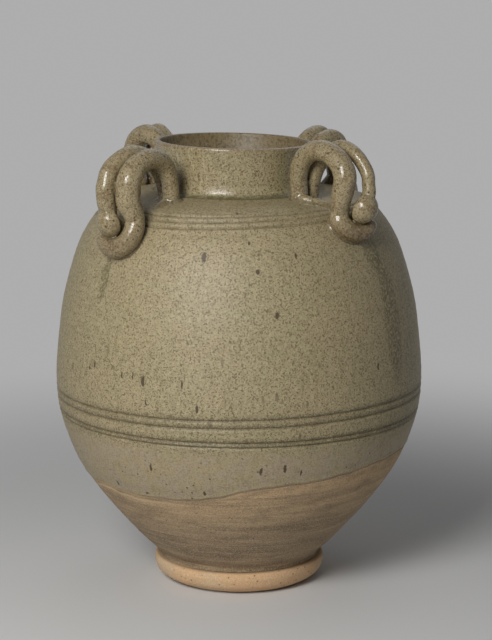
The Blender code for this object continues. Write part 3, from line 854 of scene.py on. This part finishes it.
class Shoulder:
    """Places over the shoulder in one direction, with sideways offsets to one side of it."""

    def __init__(self, direction, side):
        angle = math.radians(direction)
        self.outward = np.array([math.cos(angle), math.sin(angle), 0.0])
        self.across = np.array([-math.sin(angle), math.cos(angle), 0.0]) * side
        self.upward = np.array([0.0, 0.0, 1.0])

    def directions(self, arc):
        """Directions down the shoulder and off it."""
        outs, ups = (np.asarray(part)[..., None] for part in outline.at(arc)[2:])
        return self.outward * ups - self.upward * outs, self.outward * outs + self.upward * ups

    def place(self, arc, height, offset):
        """Points at distances down the shoulder, heights off it and sideways offsets."""
        radii, levels = (np.asarray(part)[..., None] for part in outline.at(arc)[:2])
        lift = self.directions(arc)[1]
        foot = self.outward * radii + self.upward * levels
        return foot + lift * np.asarray(height)[..., None] + self.across * np.asarray(offset)[..., None]


def strand(name, shoulder, shares, reach, coil_radius, swell, material):
    """Mesh of one coil with rounded ends, from shares of a handle's reach."""
    root, span, rise = reach
    line = smooth_curve(shares, 8)
    centres = shoulder.place(root + line[:, 0] * span, line[:, 1] * rise, line[:, 2] * STRAND_SPACING)
    sizes = line[:, 3] * coil_radius + swell
    angles = np.radians(COIL_END_ANGLES)
    start, end = centres[0] - centres[1], centres[-1] - centres[-2]
    start, end = start / np.linalg.norm(start), end / np.linalg.norm(end)
    centres = np.vstack([centres[0] + start * sizes[0] * np.sin(angles)[:, None], centres,
                         centres[-1] + end * sizes[-1] * np.sin(angles[::-1])[:, None]])
    sizes = np.concatenate([sizes[0] * np.cos(angles), sizes, sizes[-1] * np.cos(angles[::-1])])
    path = line_mesh(name + "_path", centres, thickness=sizes)
    return grown(name, path, coil_form(), Sides=COIL_SIDES, Finish=material)


def knob(name, shoulder, form, reach):
    """Mesh of a ball of clay, longer along the strand than across it and flattened underneath."""
    root, span, rise = reach
    along_share, up_share, side_share = form["knob_place"]
    arc = root + along_share * span
    run, lift = shoulder.directions(arc)
    lean, tilt = form["knob_lean"]
    along, out = run * lean + lift * tilt, lift * lean - run * tilt
    length, radius = form["knob_size"]
    shape = bmesh.new()
    bmesh.ops.create_uvsphere(shape, u_segments=KNOB_SIDES[0], v_segments=KNOB_SIDES[1], radius=1)
    mesh = mesh_of(name, shape)
    ball = positions(mesh)
    ball[:, 2] *= np.where(ball[:, 2] < 0, KNOB_UNDERSIDE, 1.0)
    sizes = ball * (length / 2, radius, radius)
    axes = np.array([along / np.linalg.norm(along), shoulder.across, out / np.linalg.norm(out)])
    move_to(mesh, shoulder.place(arc, up_share * rise, side_share * STRAND_SPACING) + sizes @ axes)
    return mesh


def fused(name, meshes, grain, rounds):
    """Mesh of overlapping lumps of clay run together, with the joins smoothed over."""
    shape = bmesh.new()
    for mesh in meshes:
        shape.from_mesh(mesh)
        bpy.data.meshes.remove(mesh)
    bmesh.ops.recalc_face_normals(shape, faces=shape.faces)
    source = placed(name + "_lumps", mesh_of(name + "_lumps", shape))
    remesh = source.modifiers.new("fuse", "REMESH")
    remesh.mode = "VOXEL"
    remesh.voxel_size = grain
    soften = source.modifiers.new("soften", "SMOOTH")
    soften.factor = 0.5
    soften.iterations = rounds
    return applied(name, source)


def averaged(mesh, values, rounds):
    """Values at a mesh's points, each averaged with its neighbours a number of times."""
    edges = np.empty(len(mesh.edges) * 2, np.int32)
    mesh.edges.foreach_get("vertices", edges)
    first, second = edges.reshape(-1, 2).T
    count = len(mesh.vertices)
    shares = np.bincount(first, minlength=count) + np.bincount(second, minlength=count)
    for _ in range(rounds):
        total = np.bincount(first, values[second], count) + np.bincount(second, values[first], count)
        values = 0.5 * values + 0.5 * total / np.maximum(shares, 1)
    return values


def hollows(mesh, rounds):
    """How hollow a surface is at each point, in millimetres over its neighbourhood."""
    points, facing = positions(mesh), normals(mesh)
    middle = np.stack([averaged(mesh, points[:, axis], rounds) for axis in range(3)], axis=1)
    return ((middle - points) * facing).sum(axis=1) * 1000


def rooted(points, facing, fillet):
    """Points of a handle that spread where it meets the shoulder, and go no deeper than its root."""
    height, arc = outline.clearance(points)
    lift = beside(points, *outline.at(arc)[2:])
    level = facing - lift * (facing * lift).sum(axis=1)[:, None]
    level /= np.maximum(np.linalg.norm(level, axis=1), 0.3)[:, None]
    inset = np.clip(fillet - height, 0, fillet)
    spread = fillet - np.sqrt(fillet ** 2 - inset ** 2)
    return points + level * spread[:, None] + lift * np.clip(-ROOT_DEPTH - height, 0, None)[:, None]


def make_handle(label, settings, material):
    """One handle: two coils side by side, the knob where they end, and the clay smeared at its roots."""
    direction, side, form, *reach = HANDLES[label]
    shoulder = Shoulder(direction, side)
    name = "jar_handle_" + label
    coils = (("hook", HOOK_COIL_RADIUS, COIL_GLAZE), ("knob_strand", form["coil"], COIL_GLAZE),
             ("smear", HOOK_COIL_RADIUS, 0.0))
    lumps = [strand(f"{name}_{part}", shoulder, form[part], reach, radius, swell, material)
             for part, radius, swell in coils]
    lumps.append(knob(name + "_knob", shoulder, form, reach))
    mesh = fused(name, lumps, settings.grain, settings.softening)
    points, facing = positions(mesh), normals(mesh)
    points = rooted(points, facing, settings.fillet)
    coarse, fine = HANDLE_WAVES
    bumps = np.array([noise.noise(Vector(point) * coarse) + 0.5 * noise.noise(Vector(point) * fine)
                      for point in points])
    points += facing * (bumps - 0.6)[:, None] * settings.unevenness
    move_to(mesh, points)
    face_outward(mesh)
    find, soften = HOLLOW_ROUNDS
    store(mesh, "cave", averaged(mesh, hollows(mesh, find), soften))
    store(mesh, "height", outline.clearance(points)[0])
    replaced = [f"{label}_{part}" for part in ("hook_strand", "knob_strand", "knob")]
    piece(mesh, material, replaced)


def glaze_finish(name, glaze):
    """New finish with the olive glaze, its clouds, speckle and fine cracks, and their relief."""
    finish = Finish(name)
    patches = finish.grain(75, 3, 0.55)
    specks = finish.grain(820, 2, 0.6)
    finish.colour = finish.blend(finish.grain(13).smooth(0.35, 0.65), glaze.olive, glaze.warm)
    finish.lay(glaze.green, patches.smooth(0.45, 0.70) * 0.30)
    finish.lay(glaze.dark, finish.grain(430, 2, 0.6, distortion=0.6).smooth(0.44, 0.62) * 0.28)
    finish.lay(glaze.dark, specks.smooth(0.545, 0.60) * 0.85)
    finish.lay(glaze.pale, finish.grain(1250, 1).smooth(0.56, 0.66) * 0.40)
    wobble = finish.value("ShaderNodeTexNoise", "Color", {"Vector": finish.place, "Scale": 120.0})
    place = finish.value("ShaderNodeVectorMath", "Vector",
                         {0: wobble, 1: (0.004, 0.004, 0.004), 2: finish.place}, operation="MULTIPLY_ADD")
    seams = finish.value("ShaderNodeTexVoronoi", "Distance", {"Vector": place, "Scale": 300.0},
                         feature="DISTANCE_TO_EDGE")
    cracks = 1 - seams.smooth(0.0, 0.08)
    finish.lay(glaze.dark, cracks * 0.25)
    return finish, specks * 0.5 + patches * 0.5 - cracks * 0.25


def spot(turn, height, place):
    """Soft oval mark at a place of STREAKS or RUNS."""
    degrees, level, wide, tall = place
    across = (turn - math.radians(degrees)) * (MARKED_RADIUS / wide)
    up = (height - level / 1000) * (1000 / tall)
    return 1 - (across * across + up * up).smooth(0.5, 1.2)


def lay_thin_glaze(finish, glaze):
    """Lay the thin, beige and pitted glaze of the band below the belly."""
    height = finish.height()
    beige = finish.blend(finish.grain(110, 3, 0.6).smooth(0.40, 0.62), glaze.band, glaze.warm)
    beige = finish.blend(finish.grain(SPECKLE, 2, 0.6).smooth(0.50, 0.60) * 0.42, beige, glaze.dark)
    finish.lay(beige, (1 - height.smooth(0.112, 0.122)) * 0.80)
    finish.lay(glaze.freckle, finish.dots(210, 0.20, 0.34) * (1 - height.smooth(0.100, 0.130)) * 0.9)


def lay_marks(finish, glaze):
    """Lay what ran down the body: faint flow lines, dark runs, brown freckles and streaks."""
    turn, height = finish.turn(), finish.height()
    finish.lay(glaze.dark, finish.grain((330, 330, 45), 3, 0.6).smooth(0.52, 0.75) * 0.30)
    marks = (finish.dots((95, 95, 34), 0.15, 0.35, patches=0.12) * height.smooth(0.105, 0.13)
             * (1 - height.smooth(0.17, 0.20)) * 0.65)
    marks = marks.larger(finish.dots(105, 0.10, 0.42) * height.smooth(0.16, 0.20) * 0.7)
    ragged_turn = turn + (finish.grain(420, 3, 0.65) - 0.5) * 0.022
    ragged_height = height + (finish.grain(260, 3, 0.65) - 0.5) * 0.006
    for place in STREAKS:
        marks = marks.larger(spot(ragged_turn, ragged_height, place) * 0.95)
    broken = finish.grain(520, 3, 0.65).smooth(0.38, 0.60)
    for place in RUNS:
        finish.lay(glaze.run, spot(turn, height, place) * broken * 0.75)
    finish.lay(glaze.freckle, marks)


def lay_pools(finish, glaze):
    """Lay the thick glaze in the grooves, over them and against the neck, and the colour inside."""
    height = finish.height()
    grains = finish.grain(SPECKLE, 2, 0.6).smooth(0.42, 0.52)
    pooled = finish.attribute("pooled") * (1 - height.smooth(0.19, 0.21) * 0.7)
    finish.lay(glaze.pool, pooled * (grains * 0.58 + 0.06))
    broken = finish.grain((60, 60, 9), 3, 0.65).smooth(0.38, 0.60)
    finish.lay(glaze.pool, finish.attribute("groove") * (broken * 0.45 + 0.12))
    seat = 1 - finish.radius().smooth(0.0590, 0.0610)
    finish.lay(glaze.run, seat * height.smooth(0.270, 0.275) * 0.75)
    finish.lay(glaze.inside, finish.attribute("inside"))


def clay_line(cover, middle, half):
    """Soft line at a distance from the glaze's edge."""
    away = (cover - middle) / half
    return 1 - (away * away).smooth(0.2, 1.2)


def lay_clay(finish, clay):
    """Lay bare turned clay, paler near the glaze, and return the relief of its turning lines."""
    rings = finish.grain((20, 20, 620), 3, 0.65)
    sand = finish.grain(SPECKLE, 2, 0.65)
    finish.colour = finish.blend(finish.height().smooth(0.040, 0.092), clay.low, clay.high)
    finish.lay(clay.dark, finish.grain((8, 8, 150)).smooth(0.42, 0.62) * 0.45)
    finish.lay(clay.pale, rings.smooth(0.48, 0.62) * 0.38)
    finish.lay(clay.dark, finish.grain((55, 55, 140), 3, 0.6).smooth(0.46, 0.66) * 0.40)
    finish.lay(clay.dark, sand.smooth(0.52, 0.60) * 0.45)
    finish.lay(clay.pale, finish.grain(GRIT, 1).smooth(0.55, 0.64) * 0.50)
    finish.lay(clay.speck, finish.dots(230, 0.17, 0.38) * 0.75)
    return rings * 0.6 + sand * 0.4


def body_finish(glaze, clay):
    """Glaze of both halves of the body, and the bare clay below its edge."""
    finish, relief = glaze_finish("body_glaze_and_clay", glaze)
    lay_thin_glaze(finish, glaze)
    lay_marks(finish, glaze)
    lay_pools(finish, glaze)
    glazed_colour = finish.colour
    clay_relief = lay_clay(finish, clay)
    cover = finish.attribute("cover")
    # Lines along the glaze's edge, laid by side. On the lit left, a yellowish line under the edge and a
    # pale ridge lower down are partly clay colour and partly painted highlight. On the right, a dark line
    # under the edge is painted shadow of the glaze's roll.
    left = 1 - finish.turn().smooth(-0.75, -0.2)
    finish.lay(clay.edge, clay_line(cover, -0.0010, 0.0010) * left * 0.5)
    finish.lay(clay.pale, clay_line(cover, -0.0048, 0.0013) * left * 0.7)
    finish.lay(clay.dark, clay_line(cover, -0.0006, 0.0006) * (1 - left) * 0.6)
    glazed = cover.smooth(-0.0003, 0.0006)
    finish.lay(glazed_colour, glazed)
    gloss = glaze.roughness - clay.roughness + finish.grain(GLOSS) * 0.12
    relief = glazed * relief * 0.35 + (1 - glazed) * clay_relief
    finish.close(glazed * gloss + clay.roughness, relief, 0.0004)
    return finish.material


def neck_finish(glaze):
    """Glossier glaze of the neck, pooled at its foot and thin and brown at the lip."""
    finish, relief = glaze_finish("neck_glaze", glaze)
    rise, inside = finish.attribute("arc"), finish.attribute("inside")
    # Pale runs on the neck's lit left side only: partly pale glaze and partly painted highlight.
    runs = finish.grain((420, 420, 60)).smooth(0.54, 0.66)
    finish.lay(glaze.pale, runs * (1 - finish.turn().smooth(-0.7, 0.2)) * 0.5)
    foot = 1 - rise.smooth(0.01, 0.09)
    finish.lay(glaze.run, foot * (finish.grain(GLOSS).smooth(0.35, 0.6) * 0.4 + 0.5))
    finish.lay(glaze.freckle, finish.dots(210, 0.17) * 0.6)
    thin = rise.smooth(0.91, 0.97) * (1 - inside)
    finish.lay(glaze.lip, thin * (finish.grain(500).smooth(0.40, 0.60) * 0.6 + 0.2))
    finish.lay(glaze.inside, inside * 0.72)
    finish.lay(glaze.freckle, inside * finish.grain(420, 2, 0.6).smooth(0.50, 0.62) * 0.6)
    finish.close(finish.grain(GLOSS) * 0.12 + inside * 0.22 + (glaze.roughness - 0.27), relief, 0.00012)
    return finish.material


def handle_finish(glaze):
    """Glossy glaze of the handles, freckled brown, thin on the crests, pooled in the hollows and at the
    roots with painted shade there, and with painted shade low on the right-hand handles.
    """
    finish, relief = glaze_finish("handle_glaze", glaze)
    cave, off = finish.attribute("cave"), finish.attribute("height")
    # Brown mottling low on the handles, stronger on the right-hand handles away from the key lamp: partly
    # brown glaze and partly painted shade under the knobs and on the shaded side.
    low = (1 - finish.height().smooth(0.250, 0.270)) * (finish.turn().smooth(0.1, 0.8) * 0.65 + 0.35)
    brown = finish.grain(95, 3, 0.6).smooth(0.50, 0.66).larger(low)
    finish.lay(glaze.warm, cave.smooth(-0.05, -0.35) * 0.35)
    finish.lay(glaze.rust_and_shade, low * 0.55)
    finish.lay(glaze.rust_and_shade, brown * finish.grain(650, 2, 0.6).smooth(0.44, 0.52) * 0.70 + 0.20)
    dots = finish.dots(270, 0.26, 0.36).larger(finish.dots(500, 0.26, 0.40))
    mottle_and_shade = low * finish.grain(500, 3, 0.65).smooth(0.48, 0.58) * 0.8
    finish.lay(glaze.freckle, dots.larger(mottle_and_shade) * 0.9)
    # Pooled glaze and painted shade: darker in the hollows and where the coils meet the shoulder.
    finish.lay(glaze.pool, cave.smooth(0.02, 0.35) * 0.85)
    finish.lay(glaze.pool, (1 - off.smooth(0.0003, 0.0030)) * 0.45)
    finish.close(finish.grain(GLOSS) * 0.10 + (glaze.roughness - 0.32), relief, 0.00010)
    return finish.material


def foot_finish(clay):
    """Bare sandy clay of the foot, paler than the body and blotched along its edge."""
    finish = Finish("foot_clay")
    height = finish.height()
    sand = finish.grain(SPECKLE, 2, 0.65)
    finish.colour = finish.blend(finish.grain(30).smooth(0.35, 0.65), clay.foot, clay.foot_warm)
    finish.lay(clay.high, finish.grain((45, 45, 120), 3, 0.6).smooth(0.52, 0.68) * 0.35)
    finish.lay(clay.high, sand.smooth(0.52, 0.62) * 0.45)
    finish.lay(clay.foot_pale, finish.grain(GRIT, 1).smooth(0.54, 0.62) * 0.45)
    finish.lay(clay.speck, finish.dots(230, 0.19, 0.36) * 0.7)
    # Painted shadow: the lowest 2 mm of the foot, where it meets the floor, is darkened.
    finish.lay(clay.dark, (1 - height.smooth(0.0, 0.0022)) * 0.45)
    top = 1 - finish.radius().smooth(0.0572, 0.0590)
    finish.lay(clay.low, top * height.smooth(0.0155, 0.0163) * 0.5)
    finish.close(finish.grain(GLOSS) * 0.1 + (clay.roughness - 0.05), sand, 0.0002)
    return finish.material


def seen_rays(graph):
    """1 for rays from the camera, from gloss and through glass, and 0 for rays that carry light."""
    path = graph.node("ShaderNodeLightPath")
    camera, gloss, glass = (Value(graph, path.outputs[f"Is {ray} Ray"])
                            for ray in ("Camera", "Glossy", "Transmission"))
    return camera.larger(gloss).larger(glass)


def floor_finish(stage):
    """Pale matt floor that shows as plain pale ground away from the jar, and keeps its shadow."""
    finish = Finish("studio_floor", Roughness=0.9)
    mottled = finish.blend(finish.grain(3), stage.floor_colour, stage.floor_colour * 0.985)
    finish.feed("Base Color", mottled)
    plain = finish.value("ShaderNodeEmission", 0, {"Color": stage.ground_tone, "Strength": 1.0})
    mixed = finish.value("ShaderNodeMixShader", 0,
                         {0: seen_rays(finish) * finish.radius().smooth(0.22, 0.75),
                          1: Value(finish, finish.shader.outputs[0]), 2: plain})
    finish.tree.links.new(mixed.socket, finish.output.inputs["Surface"])
    return finish.material


def make_world(stage):
    """Even light from all round, and the same pale tone as the ground where it is seen."""
    world = bpy.data.worlds.new("studio")
    bpy.context.scene.world = world
    world.use_nodes = True
    graph = Graph(world.node_tree)
    graph.tree.nodes.clear()
    light = graph.value("ShaderNodeBackground", 0,
                        {"Color": (1.0, 1.0, 1.0), "Strength": stage.world_light})
    backdrop = graph.value("ShaderNodeBackground", 0, {"Color": stage.ground_tone, "Strength": 1.0})
    mixed = graph.value("ShaderNodeMixShader", 0, {0: seen_rays(graph), 1: light, 2: backdrop})
    graph.node("ShaderNodeOutputWorld", {"Surface": mixed})
    bpy.context.scene.view_settings.view_transform = "Standard"


def view_place(right, away, up):
    """World place that is to the right of the jar, away from the camera and up, as the camera sees it."""
    return Vector(((right - away) * DIAGONAL, (right + away) * DIAGONAL, up))


def aimed(item, target):
    """Turn a lamp or the camera to face a place."""
    item.rotation_euler = (target - item.location).to_track_quat("-Z", "Y").to_euler()


def lamp(name, place, size, power, colour):
    """Square soft lamp that faces the middle of the jar."""
    light = bpy.data.lights.new(name, "AREA")
    light.shape = "SQUARE"
    light.size = size
    light.energy = power
    light.color = colour
    item = placed(name, light)
    item.visible_camera = False
    item.location = view_place(*place)
    aimed(item, Vector((0, 0, LIT_HEIGHT)))


def make_stage(stage):
    """Pale floor, three soft lamps, pale surroundings and the camera."""
    shape = bmesh.new()
    bmesh.ops.create_circle(shape, cap_ends=True, segments=128, radius=stage.floor_radius)
    floor = placed("studio_floor", mesh_of("studio_floor", shape))
    floor.data.materials.append(floor_finish(stage))

    for name, (place, size, colour) in LAMPS.items():
        lamp(name + "_lamp", place, size, getattr(stage, name + "_power"), colour)
    make_world(stage)

    camera = bpy.data.cameras.new("photo_camera")
    camera.lens = CAMERA_LENS
    camera.sensor_width = CAMERA_SENSOR
    camera.sensor_fit = "AUTO"
    item = placed("photo_camera", camera)
    item.location = view_place(CAMERA_PAN, -CAMERA_DISTANCE, CAMERA_HEIGHT)
    aimed(item, view_place(CAMERA_PAN, 0.0, CAMERA_LEVEL))
    bpy.context.scene.camera = item


def colour_property(name, description, default):
    """Colour that a user may change."""
    return FloatVectorProperty(name=name, description=description, default=default, size=3,
                               subtype="COLOR", min=0.0, max=1.0)


def power_property(name, description, default):
    """Power of a lamp that a user may change."""
    return FloatProperty(name=name, description=description, default=default, min=0.0, unit="POWER")


def length_property(name, description, default):
    """Length that a user may change."""
    return FloatProperty(name=name, description=description, default=default, min=0.0, precision=5,
                         unit="LENGTH")


class GlazeSettings(bpy.types.PropertyGroup):
    """Colours and gloss of the glaze."""

    olive: colour_property("Olive", "Main colour of the glaze", (0.352, 0.298, 0.172))
    warm: colour_property("Warm", "Browner clouds of the glaze", (0.368, 0.300, 0.176))
    green: colour_property("Green", "Greener patches of the glaze", (0.285, 0.265, 0.145))
    dark: colour_property("Dark", "Dark speckle and cracks", (0.118, 0.084, 0.034))
    # Also pale runs on the neck's lit left side that are partly painted highlight.
    pale: colour_property("Pale", "Pale speckle", (0.510, 0.455, 0.305))
    # Also painted shade in the handles' hollows and at their roots.
    pool: colour_property("Pool", "Thick glaze in grooves and hollows", (0.088, 0.068, 0.032))
    run: colour_property("Run", "Green runs of thick glaze", (0.088, 0.078, 0.030))
    freckle: colour_property("Freckle", "Brown freckles and streaks", (0.062, 0.040, 0.018))
    # Also painted shade low on the handles, strongest on the right-hand ones.
    rust_and_shade: colour_property("Rust", "Brown mottling of the handles", (0.165, 0.108, 0.055))
    band: colour_property("Band", "Thin glaze below the belly", (0.372, 0.300, 0.212))
    lip: colour_property("Lip", "Thin glaze at the lip", (0.200, 0.125, 0.070))
    inside: colour_property("Inside", "Glaze inside the jar", (0.150, 0.104, 0.045))
    roughness: FloatProperty(name="Roughness", description="Roughness of the body's glaze", default=0.47,
                             min=0.0, max=1.0, subtype="FACTOR")


class ClaySettings(bpy.types.PropertyGroup):
    """Colours and roughness of the bare clay."""

    high: colour_property("High", "Clay just below the glaze", (0.480, 0.330, 0.182))
    low: colour_property("Low", "Clay near the foot", (0.300, 0.220, 0.135))
    # Also a painted highlight on a ridge below the glaze's edge on the lit left side.
    pale: colour_property("Pale", "Pale turning lines and sand", (0.560, 0.420, 0.260))
    # Also painted shadow under the glaze's edge on the right and at the foot's base.
    dark: colour_property("Dark", "Dark sand and lines", (0.150, 0.108, 0.066))
    speck: colour_property("Speck", "Iron specks", (0.070, 0.045, 0.025))
    # This line is laid on the lit left side only and is partly painted highlight.
    edge: colour_property("Edge", "Line of clay along the glaze's edge", (0.500, 0.370, 0.180))
    foot: colour_property("Foot", "Clay of the foot", (0.620, 0.445, 0.275))
    foot_warm: colour_property("Foot Warm", "Warmer parts of the foot", (0.660, 0.420, 0.230))
    foot_pale: colour_property("Foot Pale", "Pale sand of the foot", (0.780, 0.600, 0.400))
    roughness: FloatProperty(name="Roughness", description="Roughness of the clay", default=0.82,
                             min=0.0, max=1.0, subtype="FACTOR")


class FormSettings(bpy.types.PropertyGroup):
    """Sizes of what the potter's hand leaves on the forms."""

    sides: IntProperty(name="Sides", description="Sides of the turned body", default=320, min=16)
    wear: length_property("Foot Wear", "Unevenness of the foot's edge", 0.0004)
    glaze_thickness: length_property("Glaze Thickness", "Step at the glaze's lower edge", 0.00038)
    unevenness: length_property("Unevenness", "Slow waves of the glaze's surface", 0.00022)
    grain: length_property("Handle Grain", "Size of the faces of the handles", 0.00050)
    softening: IntProperty(name="Softening", description="Rounds that soften the handles' joins",
                           default=6, min=0)
    fillet: length_property("Root Fillet", "Spread of the handles' roots on the shoulder", 0.0024)


class StageSettings(bpy.types.PropertyGroup):
    """Floor, lamps and surroundings."""

    floor_colour: colour_property("Floor", "Colour of the floor", (0.70, 0.705, 0.71))
    ground_tone: colour_property("Ground Tone", "Tone that the floor fades to away from the jar",
                                 (0.42, 0.42, 0.42))
    floor_radius: length_property("Floor Radius", "Radius of the floor", 20.0)
    key_power: power_property("Key", "Power of the lamp by the camera", 10.2)
    fill_power: power_property("Fill", "Power of the lamp at the left", 0.6)
    back_power: power_property("Back", "Power of the lamp behind the jar", 3.5)
    world_light: FloatProperty(name="Surroundings", description="Light from all round", default=0.09,
                               min=0.0)


class JAR_OT_foot(bpy.types.Operator):
    """Make the turned foot of bare clay"""

    bl_idname = "jar.foot"
    bl_label = "Foot"

    def execute(self, context):
        make_foot(context.scene.jar_form, foot_finish(context.scene.jar_clay))
        return {"FINISHED"}


class JAR_OT_body(bpy.types.Operator):
    """Make both thrown halves of the body, with one finish"""

    bl_idname = "jar.body"
    bl_label = "Body"

    def execute(self, context):
        scene = context.scene
        material = body_finish(scene.jar_glaze, scene.jar_clay)
        make_lower_body(scene.jar_form, material)
        make_upper_body(scene.jar_form, material)
        return {"FINISHED"}


class JAR_OT_neck(bpy.types.Operator):
    """Make the neck with its lip"""

    bl_idname = "jar.neck"
    bl_label = "Neck"

    def execute(self, context):
        make_neck(context.scene.jar_form, neck_finish(context.scene.jar_glaze))
        return {"FINISHED"}


class JAR_OT_handles(bpy.types.Operator):
    """Make the four double handles with their knobs"""

    bl_idname = "jar.handles"
    bl_label = "Handles"

    def execute(self, context):
        material = handle_finish(context.scene.jar_glaze)
        for label in HANDLES:
            make_handle(label, context.scene.jar_form, material)
        return {"FINISHED"}


class JAR_OT_stage(bpy.types.Operator):
    """Make the floor, the lamps and the camera"""

    bl_idname = "jar.stage"
    bl_label = "Studio"

    def execute(self, context):
        make_stage(context.scene.jar_stage)
        return {"FINISHED"}


class JAR_PT_panel(bpy.types.Panel):
    """Buttons for the jar's pieces, in the order in which they are made"""

    bl_label = "Stoneware Jar"
    bl_idname = "JAR_PT_panel"
    bl_space_type = "VIEW_3D"
    bl_region_type = "UI"
    bl_category = "Jar"

    def draw(self, context):
        for operator in OPERATORS:
            self.layout.operator(operator.bl_idname)
        for group in GROUPS:
            box = self.layout.box()
            settings = getattr(context.scene, group)
            for name in settings.bl_rna.properties.keys():
                if name not in ("rna_type", "name"):
                    box.prop(settings, name)


OPERATORS = (JAR_OT_foot, JAR_OT_body, JAR_OT_neck, JAR_OT_handles, JAR_OT_stage)
GROUPS = {"jar_form": FormSettings, "jar_glaze": GlazeSettings, "jar_clay": ClaySettings,
          "jar_stage": StageSettings}


def register():
    """Add the classes and the scene's settings."""
    for item in (*GROUPS.values(), *OPERATORS, JAR_PT_panel):
        bpy.utils.register_class(item)
    for name, group in GROUPS.items():
        setattr(bpy.types.Scene, name, PointerProperty(type=group))


def unregister():
    """Take the classes and the scene's settings away."""
    for name in GROUPS:
        delattr(bpy.types.Scene, name)
    for item in reversed((*GROUPS.values(), *OPERATORS, JAR_PT_panel)):
        bpy.utils.unregister_class(item)


def main():
    """Make the jar and its studio."""
    register()
    for operator in OPERATORS:
        getattr(bpy.ops.jar, operator.bl_idname.split(".")[1])()
    bpy.context.view_layer.update()


if __name__ == "__main__":
    main()
